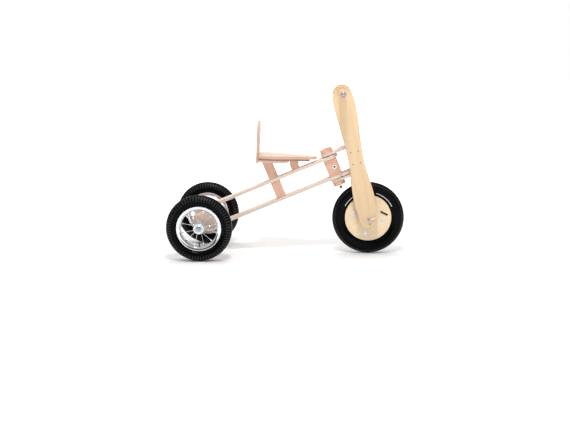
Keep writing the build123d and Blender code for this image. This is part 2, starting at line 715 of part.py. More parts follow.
LEVER_Y = -(BLADE_OUT + SKEWER_CUP + LEVER_GAP + LEVER_HEAD_R)
LEVER_RISE = 21.0            # degrees, the closed lever above level
lever_along = Vector(cos(radians(LEVER_RISE)), 0, sin(radians(LEVER_RISE)))
lever_axis = lever_along.cross(Vector(0, 1, 0))
lever_plane = Plane(origin=(FRONT_X, LEVER_Y, FRONT_TYRE_R), x_dir=lever_along, z_dir=lever_axis)
with BuildPart() as lever:
    with BuildSketch(lever_plane.offset(-4.5)):
        Circle(LEVER_HEAD_R)
    extrude(amount=9)
    with BuildSketch(lever_plane.offset(-3.5)):
        with Locations((LEVER_LONG / 2, -1.5)):
            SlotOverall(LEVER_LONG, 5)
    extrude(amount=7)
finish(lever, "quick_release_lever")


# ---------------------------------------------------------------- front wheel
DISC_R = 97.0
DISC_T = 12.0
SEAT_R = 89.0
FLANGE_T = 3.0
HUB_BORE = 15.0
BOLT_RING = 65.0
BOLT_START = -11.0
STEM_R = 3.0
STEM_CHANNEL = 3.4

tyre_view = wheel_section(FRONT_X, 0, FRONT_TYRE_R)
with BuildPart() as front_tyre:
    with BuildSketch(tyre_view):
        with BuildLine():
            foot = Line((SEAT_R + 0.2, 5.4), (SEAT_R + 0.2, 8.8))
            bead = Line(foot @ 1, (DISC_R + 1.5, 8.8))
            wall = ThreePointArc(bead @ 1, (108, 20), (124, 23.5))
            crown = ThreePointArc(wall @ 1, (142.5, 16.6), (FRONT_TYRE_R, 0))
            far_crown = ThreePointArc(crown @ 1, (142.5, -16.6), (124, -23.5))
            far_wall = ThreePointArc(far_crown @ 1, (108, -20), (DISC_R + 1.5, -8.8))
            far_bead = Line(far_wall @ 1, (SEAT_R + 0.2, -8.8))
            far_foot = Line(far_bead @ 1, (SEAT_R + 0.2, -5.4))
            rise = Line(far_foot @ 1, (DISC_R + 4, -5.4))
            inner_wall = ThreePointArc(rise @ 1, (109.5, -16), (124, -19.5))
            inner_crown = ThreePointArc(inner_wall @ 1, (145.5, 0), (124, 19.5))
            inside = ThreePointArc(inner_crown @ 1, (109.5, 16), (DISC_R + 4, 5.4))
            Line(inside @ 1, foot @ 0)
        make_face()
    revolve(axis=wheel_axis(FRONT_X, FRONT_TYRE_R))
finish(front_tyre, "front_tyre")

# The valve stem lies in a slanted slot of the near disc.
SLOT_IN = (50.0, 26.4)
SLOT_OUT = (82.0, 10.5)
slot_angle = degrees(atan2(SLOT_OUT[1] - SLOT_IN[1], SLOT_OUT[0] - SLOT_IN[0]))
slot_long = hypot(SLOT_OUT[0] - SLOT_IN[0], SLOT_OUT[1] - SLOT_IN[1])
slot_mid = ((SLOT_IN[0] + SLOT_OUT[0]) / 2, (SLOT_IN[1] + SLOT_OUT[1]) / 2)
stem_dir = Vector(cos(radians(slot_angle)), 0, sin(radians(slot_angle)))
stem_start = Vector(FRONT_X + SLOT_IN[0], 0, FRONT_TYRE_R + SLOT_IN[1]) + stem_dir * 3
stem_plane = Plane(origin=stem_start, x_dir=(0, 1, 0), z_dir=stem_dir)
TUBE_RING = 124.0
TUBE_R = 15.5
STEM_LONG = 70.0

with BuildPart() as front_tube:
    with BuildSketch(tyre_view):
        with Locations((TUBE_RING, 0)):
            Circle(TUBE_R)
    revolve(axis=wheel_axis(FRONT_X, FRONT_TYRE_R))
    with BuildSketch(stem_plane):
        Circle(STEM_R)
    extrude(amount=STEM_LONG)
    with BuildSketch(tyre_view):
        with Locations((TUBE_RING, 0)):
            Circle(TUBE_R - 2)
    revolve(axis=wheel_axis(FRONT_X, FRONT_TYRE_R), mode=Mode.SUBTRACT)
finish(front_tube, "front_tube")


def disc_bolt_places():
    """Forward and upward place of each disc bolt."""
    places = []
    for index in range(4):
        angle = radians(BOLT_START + 90 * index)
        places.append((FRONT_X + BOLT_RING * cos(angle), FRONT_TYRE_R + BOLT_RING * sin(angle)))
    return places


def wheel_disc(y_outer, y_inner, slotted, name):
    """Plywood half of the front wheel: a flange outside the tyre bead and a seat under it."""
    side = 1 if y_outer > 0 else -1
    with BuildPart() as disc:
        with BuildSketch(tyre_view):
            with BuildLine():
                Polyline((HUB_BORE, y_inner), (SEAT_R, y_inner), (SEAT_R, y_outer - side * FLANGE_T),
                         (DISC_R, y_outer - side * FLANGE_T), (DISC_R, y_outer - side * 1.0),
                         (DISC_R - 1, y_outer), (HUB_BORE, y_outer), close=True)
            make_face()
        revolve(axis=wheel_axis(FRONT_X, FRONT_TYRE_R))
        with BuildSketch(side_plane(FRONT_X, FRONT_TYRE_R, max(y_inner, y_outer))):
            with PolarLocations(BOLT_RING, 4, start_angle=BOLT_START):
                Circle(3.0)
        extrude(amount=DISC_T, mode=Mode.SUBTRACT)
        if slotted:
            with BuildSketch(side_plane(FRONT_X, FRONT_TYRE_R, max(y_inner, y_outer))):
                with Locations(Location((slot_mid[0], slot_mid[1], 0), (0, 0, slot_angle))):
                    SlotOverall(slot_long, 9)
            extrude(amount=DISC_T, mode=Mode.SUBTRACT)
        with BuildSketch(stem_plane.offset(-1.0)):
            Circle(STEM_CHANNEL)
        extrude(amount=STEM_LONG, mode=Mode.SUBTRACT)
    finish(disc, name)


wheel_disc(-DISC_T, 0, True, "wheel_disc_right")
wheel_disc(DISC_T, 0, False, "wheel_disc_left")

disc_fastener_solids = []
for bolt_x, bolt_z in disc_bolt_places():
    section = wheel_section(bolt_x, 0, bolt_z)
    bolt_shape = [(0, -DISC_T - 4.6), (5.0, -DISC_T - 4.2), (6.0, -DISC_T - 1.6), (9.6, -DISC_T - 1.6),
                  (9.6, -DISC_T), (3.0, -DISC_T), (3.0, DISC_T + 9), (0, DISC_T + 9)]
    nut_shape = [(3.0, DISC_T), (9.6, DISC_T), (9.6, DISC_T + 1.6), (5.6, DISC_T + 1.6), (5.6, DISC_T + 7),
                 (3.0, DISC_T + 7)]
    disc_fastener_solids.append(turned(section, bolt_shape, "bolt"))
    disc_fastener_solids.append(turned(section, nut_shape, "nut"))
group(disc_fastener_solids, "disc_fasteners")

FRONT_BEARING_R = 11.0
hub_outline = [(FRONT_BEARING_R, -HUB_SHELL), (14, -HUB_SHELL), (14, -DISC_T - 3), (26, -DISC_T - 3),
               (26, -DISC_T), (HUB_BORE, -DISC_T), (HUB_BORE, DISC_T), (26, DISC_T), (26, DISC_T + 3),
               (14, DISC_T + 3), (14, HUB_SHELL), (FRONT_BEARING_R, HUB_SHELL),
               (FRONT_BEARING_R, HUB_SHELL - 7), (6.5, HUB_SHELL - 7), (6.5, 7 - HUB_SHELL),
               (FRONT_BEARING_R, 7 - HUB_SHELL)]
group([turned(tyre_view, hub_outline, "hub")], "front_hub")

front_bearing_rings = []
for inner, outer in ((HUB_SHELL - 7, HUB_SHELL), (-HUB_SHELL, 7 - HUB_SHELL)):
    front_bearing_rings.append(
        axle_sleeve(FRONT_X, inner, outer, FRONT_TYRE_R, FRONT_AXLE_R + RUN, FRONT_BEARING_R))
group(front_bearing_rings, "front_bearings")


# ---------------------------------------------------------------- rear wheels
RIM_R = 91.0
RIM_IN = 74.0
RIM_HALF = 19.0
BEARING_R = 11.0
FLANGE_R = 21.5
SPOKE_R = 1.0
REAR_TUBE_RING = 111.5
REAR_TUBE_R = 16.0


def rear_wheel(side, name):
    """Tyre, tube, chrome rim, spoked hub and bearings of one rear wheel; side is -1 right, 1 left."""
    middle = side * WHEEL_Y
    view = wheel_section(REAR_X, middle, REAR_TYRE_R)
    axis = wheel_axis(REAR_X, REAR_TYRE_R)
    with BuildPart() as tyre:
        with BuildSketch(view):
            with BuildLine():
                foot = Line((80.5, 8.0), (80.5, 12.0))
                bead = Line(foot @ 1, (92, 14.6))
                wall = ThreePointArc(bead @ 1, (100, 23.5), (112, 26.5))
                crown = ThreePointArc(wall @ 1, (128.2, 19), (REAR_TYRE_R, 0))
                far_crown = ThreePointArc(crown @ 1, (128.2, -19), (112, -26.5))
                far_wall = ThreePointArc(far_crown @ 1, (100, -23.5), (92, -14.6))
                far_bead = Line(far_wall @ 1, (80.5, -12.0))
                far_foot = Line(far_bead @ 1, (80.5, -8.0))
                rise = Line(far_foot @ 1, (94, -9.5))
                inner_wall = ThreePointArc(rise @ 1, (101.5, -19), (112, -22))
                inner_crown = ThreePointArc(inner_wall @ 1, (129.5, 0), (112, 22))
                inside = ThreePointArc(inner_crown @ 1, (101.5, 19), (94, 9.5))
                Line(inside @ 1, foot @ 0)
            make_face()
        revolve(axis=axis)
    finish(tyre, f"rear_tyre_{name}")

    with BuildPart() as tube:
        with BuildSketch(view):
            with Locations((REAR_TUBE_RING, 0)):
                Circle(REAR_TUBE_R)
        revolve(axis=axis)
        with BuildSketch(Plane(origin=(REAR_X, middle, REAR_TYRE_R - 60), x_dir=(1, 0, 0), z_dir=(0, 0, -1))):
            Circle(2.6)
        extrude(amount=36)
        with BuildSketch(view):
            with Locations((REAR_TUBE_RING, 0)):
                Circle(REAR_TUBE_R - 2)
        revolve(axis=axis, mode=Mode.SUBTRACT)
    finish(tube, f"rear_tube_{name}")

    with BuildPart() as rim:
        with BuildSketch(view):
            with BuildLine():
                lip = Line((RIM_R - 2, RIM_HALF), (RIM_R, RIM_HALF - 1))
                seat = Line(lip @ 1, (RIM_R, RIM_HALF - 2.6))
                inner_wall = Line(seat @ 1, (79.5, 13.8))
                floor = Line(inner_wall @ 1, (77, 6))
                floor_mid = Line(floor @ 1, (77, -6))
                far_floor = Line(floor_mid @ 1, (79.5, -13.8))
                far_inner = Line(far_floor @ 1, (RIM_R, 2.6 - RIM_HALF))
                far_seat = Line(far_inner @ 1, (RIM_R, 1 - RIM_HALF))
                far_lip = Line(far_seat @ 1, (RIM_R - 2, -RIM_HALF))
                far_face = Spline(far_lip @ 1, (80, -16.6), (RIM_IN, -8), tangents=((-1, 0.05), (-0.4, 1)))
                base = Line(far_face @ 1, (RIM_IN, 8))
                Spline(base @ 1, (80, 16.6), lip @ 0, tangents=((0.4, 1), (1, 0.05)))
            make_face()
        revolve(axis=axis)
        with BuildSketch(Plane(origin=(REAR_X, middle, REAR_TYRE_R - 60), x_dir=(1, 0, 0), z_dir=(0, 0, -1))):
            Circle(2.7)
        extrude(amount=25, mode=Mode.SUBTRACT)
    finish(rim, f"rear_rim_{name}")

    shell = [(BEARING_R, -HUB_HALF), (13, -HUB_HALF), (13, -21.5), (FLANGE_R, -21.5), (FLANGE_R, -19),
             (13, -18), (11, -10), (11, 10), (13, 18), (FLANGE_R, 19), (FLANGE_R, 21.5), (13, 21.5),
             (13, HUB_HALF), (BEARING_R, HUB_HALF), (BEARING_R, HUB_HALF - 6), (7.5, HUB_HALF - 6),
             (7.5, 6 - HUB_HALF), (BEARING_R, 6 - HUB_HALF)]
    group([turned(view, shell, "hub")], f"rear_hub_{name}")

    rings = []
    for inner, outer in ((HUB_HALF - 6, HUB_HALF), (-HUB_HALF, 6 - HUB_HALF)):
        rings.append(axle_sleeve(REAR_X, middle + inner, middle + outer, REAR_TYRE_R, REAR_AXLE_R + RUN, BEARING_R))
    group(rings, f"rear_bearings_{name}")

    wires = []
    for index in range(SPOKES):
        angle = radians(15 + index * 360 / SPOKES)
        out = Vector(cos(angle), 0, sin(angle))
        flange_y = 20.2 if index % 2 else -20.2
        start = Vector(REAR_X, middle + flange_y, REAR_TYRE_R) + out * (FLANGE_R + 0.3)
        end = Vector(REAR_X, middle + flange_y * 0.12, REAR_TYRE_R) + out * (RIM_IN - 0.9)
        with BuildPart() as wire:
            with BuildSketch(Plane(origin=start, z_dir=end - start)):
                Circle(SPOKE_R)
            extrude(amount=(end - start).length - 9)
            with BuildSketch(Plane(origin=end, z_dir=start - end)):
                Circle(SPOKE_R * 2)
            extrude(amount=9)
        wires.append(wire.part)
    group(wires, f"rear_spokes_{name}")


rear_wheel(-1, "right")
rear_wheel(1, "left")
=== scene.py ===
# %% [markdown]
# # A child's wooden tricycle
# The frame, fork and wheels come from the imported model, which is loaded first and is never moved.
# Wooden boards keep their modelled shape and get a grained finish. Tyres, rims, spokes, hubs and
# fasteners are small turned pieces, so they are built here again with the detail the real ones show.

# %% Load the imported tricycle
import bpy
import bmesh
import json
from math import atan2, cos, pi, radians, sin, sqrt
from mathutils import Matrix, Vector


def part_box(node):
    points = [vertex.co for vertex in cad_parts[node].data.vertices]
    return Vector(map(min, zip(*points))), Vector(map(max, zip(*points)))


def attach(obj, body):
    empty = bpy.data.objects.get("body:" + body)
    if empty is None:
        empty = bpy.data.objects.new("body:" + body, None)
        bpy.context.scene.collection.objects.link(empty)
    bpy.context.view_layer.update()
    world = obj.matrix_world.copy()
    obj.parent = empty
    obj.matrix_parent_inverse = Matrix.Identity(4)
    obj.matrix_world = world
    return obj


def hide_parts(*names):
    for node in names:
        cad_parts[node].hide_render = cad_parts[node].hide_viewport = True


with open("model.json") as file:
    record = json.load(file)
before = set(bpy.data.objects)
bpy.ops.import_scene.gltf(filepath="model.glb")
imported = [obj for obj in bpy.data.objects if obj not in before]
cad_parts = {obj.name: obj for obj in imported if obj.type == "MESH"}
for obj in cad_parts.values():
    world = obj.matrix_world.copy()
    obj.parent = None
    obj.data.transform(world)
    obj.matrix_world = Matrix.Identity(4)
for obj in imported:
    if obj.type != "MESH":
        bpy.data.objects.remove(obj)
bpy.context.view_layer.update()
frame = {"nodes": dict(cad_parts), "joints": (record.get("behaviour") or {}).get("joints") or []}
nodes = frame["nodes"]

# %% [markdown]
# ## Directions and centres
# The planks climb 22.5 degrees towards the front, the fork blades lean back 12.4 degrees and the seat
# drops 2.5 degrees. Wheel centres are read from the joints, because a wheel turns about its joint.
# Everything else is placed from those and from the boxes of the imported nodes.

# %% Directions and wheel centres
MM = 0.001
RISE = radians(22.5)
LEAN = radians(12.4)
DROP = radians(2.5)
PLANK_ALONG = Vector((cos(RISE), 0, sin(RISE)))
STEER_UP = Vector((-sin(RISE), 0, cos(RISE)))
BLADE_UP = Vector((-sin(LEAN), 0, cos(LEAN)))
SEAT_ALONG = Vector((cos(DROP), 0, -sin(DROP)))
SEAT_UP = Vector((sin(DROP), 0, cos(DROP)))
SIDEWAYS = Vector((0, 1, 0))
joint_at = {joint["name"]: Vector(joint["pos_m"]) for joint in frame["joints"]}
WHEELS = {"front": joint_at["front_wheel_spin"],
          "right": joint_at["rear_wheel_right_spin"],
          "left": joint_at["rear_wheel_left_spin"]}
print("wheel centres", {name: tuple(round(v, 4) for v in at) for name, at in WHEELS.items()})


def corners_of(points):
    """Lowest and highest corner of the box round some points."""
    return (Vector([min(point[i] for point in points) for i in range(3)]),
            Vector([max(point[i] for point in points) for i in range(3)]))


def middle_of(name):
    """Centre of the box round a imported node."""
    low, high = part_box(name)
    return (Vector(low) + Vector(high)) / 2


# %% [markdown]
# ## Colours and shader nodes
# Colours are written as everyday 0-255 values and turned into the linear values a shader mixes with.
# `put` adds one shader node and sets or links its sockets in one call, so a material reads as a recipe.


# %% Colours and shader nodes
def tone(red, green, blue):
    """Linear colour of a 0-255 colour."""
    def linear(part):
        part /= 255
        return part / 12.92 if part <= 0.04045 else ((part + 0.055) / 1.055) ** 2.4
    return (linear(red), linear(green), linear(blue), 1.0)


def feed(tree, node, sockets):
    """Set a node's inputs to values, or link them to the outputs that feed them."""
    for key, value in sockets.items():
        if isinstance(value, bpy.types.NodeSocket):
            tree.links.new(value, node.inputs[key])
        else:
            node.inputs[key].default_value = value
    return node


def put(tree, kind, sockets=None, **settings):
    """Add a shader node; sockets are values or the outputs that feed them."""
    made = tree.nodes.new("ShaderNode" + kind)
    for key, value in settings.items():
        setattr(made, key, value)
    return feed(tree, made, sockets or {})


def sum_of(tree, operation, first, second=0.0, third=0.0):
    """Output of a Math node."""
    return put(tree, "Math", {0: first, 1: second, 2: third}, operation=operation).outputs[0]


def between(tree, value, low, high, to_low=0.0, to_high=1.0):
    """Value remapped from one range to another, clamped."""
    return put(tree, "MapRange", {"Value": value, "From Min": low, "From Max": high, "To Min": to_low,
                                  "To Max": to_high}).outputs["Result"]


def blend_tones(tree, share, first, second):
    """Two colours mixed by a share. A Mix node keeps its colour sockets at 6 and 7, and out at 2."""
    return put(tree, "Mix", {0: share, 6: first, 7: second}, data_type="RGBA").outputs[2]


def deeper(colour, share):
    """The same colour with its light cut to a share."""
    return tuple(part * share for part in colour[:3]) + (1.0,)


print("mid grey in linear values", round(tone(128, 128, 128)[0], 4))

# %% [markdown]
# ## Groups and materials
# Patterns that many materials share are node groups, which hand back only masks and values. The shader
# itself stays in each material, and its constant settings go straight onto its sockets.


# %% Groups and materials
def new_group(name, inputs, outputs):
    """Shader node group with its sockets, and the sockets inside it to read from and write to."""
    tree = bpy.data.node_groups.new(name, "ShaderNodeTree")
    for kind, label, value in inputs:
        socket = tree.interface.new_socket(label, in_out="INPUT", socket_type="NodeSocket" + kind)
        if value is not None:
            socket.default_value = value
    for kind, label in outputs:
        tree.interface.new_socket(label, in_out="OUTPUT", socket_type="NodeSocket" + kind)
    return tree, tree.nodes.new("NodeGroupInput").outputs, tree.nodes.new("NodeGroupOutput").inputs


def use_group(tree, group, sockets):
    """Node that runs a shared group."""
    return put(tree, "Group", sockets, node_tree=group).outputs


def new_material(name, **constants):
    """Material with its Principled shader; constants are set on the shader's own sockets."""
    material = bpy.data.materials.new(name)
    material.use_nodes = True
    tree = material.node_tree
    shader = tree.nodes["Principled BSDF"]
    for key, value in constants.items():
        shader.inputs[key.replace("_", " ")].default_value = value
    return material, tree, shader


print("group and material helpers ready")

# %% [markdown]
# ## Timber figure
# Planed beech and birch show three things at three sizes: broad bands where the growth rings run out,
# fine fibres along the grain, and short dark flecks. Noise stretched along the grain gives each of them.
# It is one node group, because every board and block reads it with its own direction of grain.

# %% Timber figure group
def timber_figure_group():
    """Growth bands, fibres and flecks of a board whose grain runs along local X, in metres."""
    tree, given, made = new_group("timber_figure", [("Vector", "Vector", None), ("Float", "Seed", 0.0)],
                                  [("Float", "Bands"), ("Float", "Fibres"), ("Float", "Flecks"),
                                   ("Float", "Clouds")])
    offset = put(tree, "CombineXYZ", {"X": given["Seed"], "Y": given["Seed"], "Z": given["Seed"]})
    shifted = put(tree, "VectorMath", {0: given["Vector"], 1: offset.outputs[0]}, operation="ADD")

    def stretched(scale, noise_scale, detail, rough):
        mapping = put(tree, "Mapping", {"Vector": shifted.outputs[0], "Scale": scale})
        return put(tree, "TexNoise", {"Vector": mapping.outputs[0], "Scale": noise_scale, "Detail": detail,
                                      "Roughness": rough}).outputs["Fac"]

    sway = stretched((3.0, 14.0, 14.0), 1.0, 2.0, 0.5)
    apart = put(tree, "SeparateXYZ", {"Vector": shifted.outputs[0]})
    across = sum_of(tree, "MULTIPLY_ADD", apart.outputs["Z"], 0.8, apart.outputs["Y"])
    ring_place = sum_of(tree, "MULTIPLY_ADD", sway, 9.0, sum_of(tree, "MULTIPLY", across, 95.0))
    ring = sum_of(tree, "SINE", sum_of(tree, "MULTIPLY", ring_place, 2.4))
    soft = stretched((4.0, 60.0, 60.0), 1.6, 3.0, 0.55)
    bands = sum_of(tree, "MULTIPLY_ADD", ring, 0.28, soft)
    tree.links.new(between(tree, bands, 0.15, 0.9), made["Bands"])
    for label, low, high, noise in (("Fibres", 0.25, 0.75, ((18.0, 900.0, 900.0), 1.2, 4.0, 0.6)),
                                    ("Flecks", 0.62, 0.78, ((110.0, 1500.0, 1500.0), 1.0, 2.0, 0.5)),
                                    ("Clouds", 0.3, 0.7, ((9.0, 22.0, 22.0), 1.0, 3.0, 0.5))):
        tree.links.new(between(tree, stretched(*noise), low, high), made[label])
    return tree


TIMBER = timber_figure_group()
print("group", TIMBER.name)

# %% [markdown]
# ## Ply lines
# The sawn edge of plywood shows its veneers: every second one is cut across the grain and looks darker,
# and a thin glue line parts them. A repeating count through the thickness gives both masks. The count
# starts at forty and a half, so it never turns negative and a whole veneer sits in the middle.

# %% Ply lines group
def ply_lines_group():
    """Crosswise veneers and glue lines at a depth through a board, counted from its middle."""
    tree, given, made = new_group("ply_lines", [("Float", "Depth", 0.0), ("Float", "Veneer", 0.0013),
                                                ("Float", "Waver", 0.0)],
                                  [("Float", "Crosswise"), ("Float", "Glue")])
    wavy = sum_of(tree, "MULTIPLY_ADD", given["Waver"], 0.3 * MM, given["Depth"])
    keep_positive = 40.5
    count = sum_of(tree, "ADD", sum_of(tree, "DIVIDE", wavy, given["Veneer"]), keep_positive)
    place = sum_of(tree, "FRACT", count)
    odd = sum_of(tree, "MODULO", sum_of(tree, "FLOOR", count), 2.0)
    tree.links.new(odd, made["Crosswise"])
    from_edge = sum_of(tree, "ABSOLUTE", sum_of(tree, "SUBTRACT", place, 0.5))
    tree.links.new(between(tree, from_edge, 0.4, 0.5), made["Glue"])
    return tree


PLY_LINES = ply_lines_group()
print("group", PLY_LINES.name)

# %% [markdown]
# ## Wood finishes
# Each wooden part has its own direction of grain and, for plywood, its own direction of thickness. A
# Mapping node turns the part's own coordinates so that X runs along the grain and Z through the board.
# The same turn applied to the surface normal tells a sawn edge or end grain from a face, so one recipe
# serves faces, ply edges and end grain, with a satin lacquer over all.


# %% Wood finish recipe
def wood_finish(name, along, through, centre, face, deep, edge=None, edge_dark=None, veneer=0.0, seed=0.0,
                end=None, rough=0.5):
    """Lacquered wood. With a veneer thickness it is plywood, which needs the two edge colours, and
    without it solid timber, which needs the colour of its end grain."""
    material, tree, shader = new_material(name, IOR=1.46, Coat_Weight=0.12, Coat_Roughness=0.28)
    side = through.cross(along)
    turn = Matrix((along, side, through)).to_euler()
    shift = -(turn.to_matrix() @ centre)
    here = put(tree, "TexCoord")
    board = put(tree, "Mapping", {"Vector": here.outputs["Object"], "Rotation": turn, "Location": shift})
    turned_normal = put(tree, "Mapping", {"Vector": here.outputs["Normal"], "Rotation": turn},
                        vector_type="VECTOR")
    face_way = put(tree, "SeparateXYZ", {"Vector": turned_normal.outputs[0]})
    figure = use_group(tree, TIMBER, {"Vector": board.outputs[0], "Seed": seed})
    base = face
    for mask, share, darker in (("Bands", 0.55, deep), ("Clouds", 0.22, deeper(face, 0.93)),
                                ("Fibres", 0.30, deeper(deep, 0.86)), ("Flecks", 0.45, deeper(deep, 0.62))):
        base = blend_tones(tree, sum_of(tree, "MULTIPLY", figure[mask], share), base, darker)
    fleck_depth = sum_of(tree, "MULTIPLY", figure["Flecks"], -0.7)
    height = sum_of(tree, "MULTIPLY_ADD", figure["Fibres"], -0.6, fleck_depth)
    if veneer:
        depth = put(tree, "SeparateXYZ", {"Vector": board.outputs[0]}).outputs["Z"]
        lines = use_group(tree, PLY_LINES, {"Depth": depth, "Veneer": veneer,
                                            "Waver": sum_of(tree, "SUBTRACT", figure["Clouds"], 0.5)})
        sawn = blend_tones(tree, lines["Crosswise"], edge, edge_dark)
        for mask, share, light in ((figure["Fibres"], 0.25, 0.8), (lines["Glue"], 0.35, 0.55)):
            sawn = blend_tones(tree, sum_of(tree, "MULTIPLY", mask, share), sawn, deeper(edge_dark, light))
        on_edge = between(tree, sum_of(tree, "ABSOLUTE", face_way.outputs["Z"]), 0.86, 0.6)
        base = blend_tones(tree, on_edge, base, sawn)
        groove = sum_of(tree, "MULTIPLY", lines["Glue"], on_edge)
        height = sum_of(tree, "MULTIPLY_ADD", groove, -0.8, height)
    else:
        on_end = between(tree, sum_of(tree, "ABSOLUTE", face_way.outputs["X"]), 0.75, 0.92)
        base = blend_tones(tree, sum_of(tree, "MULTIPLY", on_end, 0.8), base, end)
    tree.links.new(base, shader.inputs["Base Color"])
    sheen = sum_of(tree, "MULTIPLY_ADD", figure["Fibres"], 0.14, rough - 0.07)
    tree.links.new(sum_of(tree, "MULTIPLY_ADD", figure["Clouds"], 0.08, sheen), shader.inputs["Roughness"])
    bump = put(tree, "Bump", {"Height": height, "Strength": 0.35, "Distance": 0.00015})
    tree.links.new(bump.outputs[0], shader.inputs["Normal"])
    return material


def give(name, material):
    """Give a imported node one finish."""
    mesh = nodes[name].data
    mesh.materials.clear()
    mesh.materials.append(material)


print("wood recipe ready")

# %% [markdown]
# ## Colours of the woods
# The planks are pale pinkish birch plywood and the seat's layers are warmer. The middle seat layer is
# painted
# darkest: painted shade under the seat board above it. Blocks and posts are solid beech, the bar is a
# yellower dowel, and the fork blades and wheel discs are birch plywood with a clear lacquer that has
# yellowed it. The
# 12 mm boards have nine veneers and the 14 mm blades have eleven.

# %% Colours of the woods
BOARD_VENEER = 12 * MM / 9
BLADE_VENEER = 14 * MM / 11
PINK = dict(face=tone(238, 223, 210), deep=tone(226, 204, 187), edge=tone(231, 217, 207),
            edge_dark=tone(210, 184, 168), veneer=BOARD_VENEER)
SEAT = dict(face=tone(233, 209, 191), deep=tone(221, 190, 168), edge=tone(220, 190, 170),
            edge_dark=tone(192, 154, 132), veneer=BOARD_VENEER)
# The seat's middle board is painted darker, as painted shade under the overhanging seat board.
SEAT_PAINTED_SHADE = dict(face=tone(206, 160, 132), deep=tone(190, 142, 114), edge=tone(188, 136, 108),
                 edge_dark=tone(158, 106, 80), veneer=BOARD_VENEER)
# The blades' birch is set a little darker. Partly this is its own colour, and partly it is painted shade
# standing in for the bar's shadow down the blade.
CREAM_PAINTED_SHADE = dict(face=tone(227, 199, 161), deep=tone(218, 185, 140), edge=tone(220, 186, 147),
             edge_dark=tone(196, 152, 109), veneer=BLADE_VENEER, rough=0.46)
# The discs' birch is set paler. Partly this is its own colour, and partly it is painted light that offsets
# the shade the blades cast on the disc.
DISC_PAINTED_LIGHT = dict(face=tone(249, 227, 193), deep=tone(241, 210, 168), edge=tone(232, 200, 160),
            edge_dark=tone(208, 166, 122), veneer=BOARD_VENEER, rough=0.46)
BEECH = dict(face=tone(222, 179, 155), deep=tone(209, 159, 132), end=tone(198, 150, 122))
BAR = dict(face=tone(226, 186, 152), deep=tone(213, 166, 128), end=tone(206, 168, 138))
PALETTES = {"seat_wedge": SEAT, "seat_support_board": SEAT_PAINTED_SHADE, "seat_board": SEAT, "backrest": SEAT,
            "handlebar": BAR}
print("parts with a palette of their own", sorted(PALETTES))

# %% [markdown]
# ## Finishes of the boards and blocks
# The grain of a board runs along its length, and its plies are stacked through its thickness, so each
# entry names those two directions. A block of solid timber has only a direction of grain.

# %% Finishes of the boards and blocks
ply_boards = {
    "upper_frame_plank": (PLANK_ALONG, STEER_UP), "lower_frame_plank": (PLANK_ALONG, STEER_UP),
    "upper_steering_plate": (PLANK_ALONG, STEER_UP), "lower_steering_plate": (PLANK_ALONG, STEER_UP),
    "fork_stop_block": (SIDEWAYS, STEER_UP), "seat_wedge": (SEAT_ALONG, SEAT_UP),
    "seat_base_plate": (SEAT_ALONG, SEAT_UP), "seat_support_board": (SEAT_ALONG, SEAT_UP),
    "seat_board": (SEAT_ALONG, SEAT_UP), "backrest": (SEAT_UP, SEAT_ALONG),
}
for count, (name, (along, through)) in enumerate(ply_boards.items()):
    give(name, wood_finish("ply_" + name, along, through, middle_of(name), seed=count * 0.37,
                           **PALETTES.get(name, PINK)))
CHEEK_MIDDLE = Vector((0, 94 * MM, 0))
give("axle_cheeks", wood_finish("ply_axle_cheeks", PLANK_ALONG, SIDEWAYS, CHEEK_MIDDLE, seed=3.1, **SEAT))

solid_blocks = {
    "head_block": STEER_UP, "rear_axle_block": SIDEWAYS, "rear_post_lower": STEER_UP,
    "rear_post_upper": STEER_UP, "front_post": STEER_UP, "top_cap_block": STEER_UP,
    "bottom_cap_block": STEER_UP, "fork_block": SIDEWAYS, "handlebar": SIDEWAYS,
}
for count, (name, along) in enumerate(solid_blocks.items()):
    through = PLANK_ALONG if along is STEER_UP else STEER_UP
    give(name, wood_finish("beech_" + name, along, through, middle_of(name), seed=5 + count * 0.53,
                           **PALETTES.get(name, BEECH)))

DISC_GRAIN = Vector((0.94, 0, 0.34)).normalized()
for side in ("right", "left"):
    blade, disc = "fork_blade_" + side, "wheel_disc_" + side
    # The blades take the darkened birch, partly painted shade.
    give(blade, wood_finish("birch_" + blade, BLADE_UP, SIDEWAYS, middle_of(blade), seed=11.0, **CREAM_PAINTED_SHADE))
    # The discs take the paler birch, partly painted light.
    give(disc, wood_finish("birch_" + disc, DISC_GRAIN, SIDEWAYS, middle_of(disc), seed=17.3, **DISC_PAINTED_LIGHT))
print("boards", len(ply_boards), "and blocks", len(solid_blocks), "finished, with cheeks, blades and discs")

# %% [markdown]
# ## Rubber, metal and plastic
# Tyre rubber is nearly black with a faint cool bloom and dust caught in its texture. The rims are polished
# chrome with faint smears, the hubs are turned aluminium, and bolts and nuts are zinc plated, which is
# softer and mottled. The connector screws are painted dark, as painted shade for their sockets, and the
# moulded cap is dark and fairly dull.

# %% Smears and speckle group
def wear_group():
    """Broad smears and fine speckle over a surface."""
    inputs = [("Vector", "Vector", None), ("Float", "Smear Size", 60.0), ("Float", "Speckle Size", 900.0)]
    outputs = [("Float", "Smears"), ("Float", "Speckle")]
    tree, given, made = new_group("smears_and_speckle", inputs, outputs)
    smears = put(tree, "TexNoise", {"Vector": given["Vector"], "Scale": given["Smear Size"],
                                    "Detail": 3.0, "Distortion": 0.6})
    speckle = put(tree, "TexNoise", {"Vector": given["Vector"], "Scale": given["Speckle Size"],
                                     "Detail": 2.0})
    tree.links.new(between(tree, smears.outputs["Fac"], 0.35, 0.7), made["Smears"])
    tree.links.new(between(tree, speckle.outputs["Fac"], 0.35, 0.65), made["Speckle"])
    return tree


WEAR = wear_group()
print("group", WEAR.name)

# %% [markdown]
# ## Worn finishes
# Rubber, plating and plastic share one recipe: smears move the colour between two tones and the gloss
# between two values, and speckle gives a faint grain. Only the tones and the gloss differ by finish.


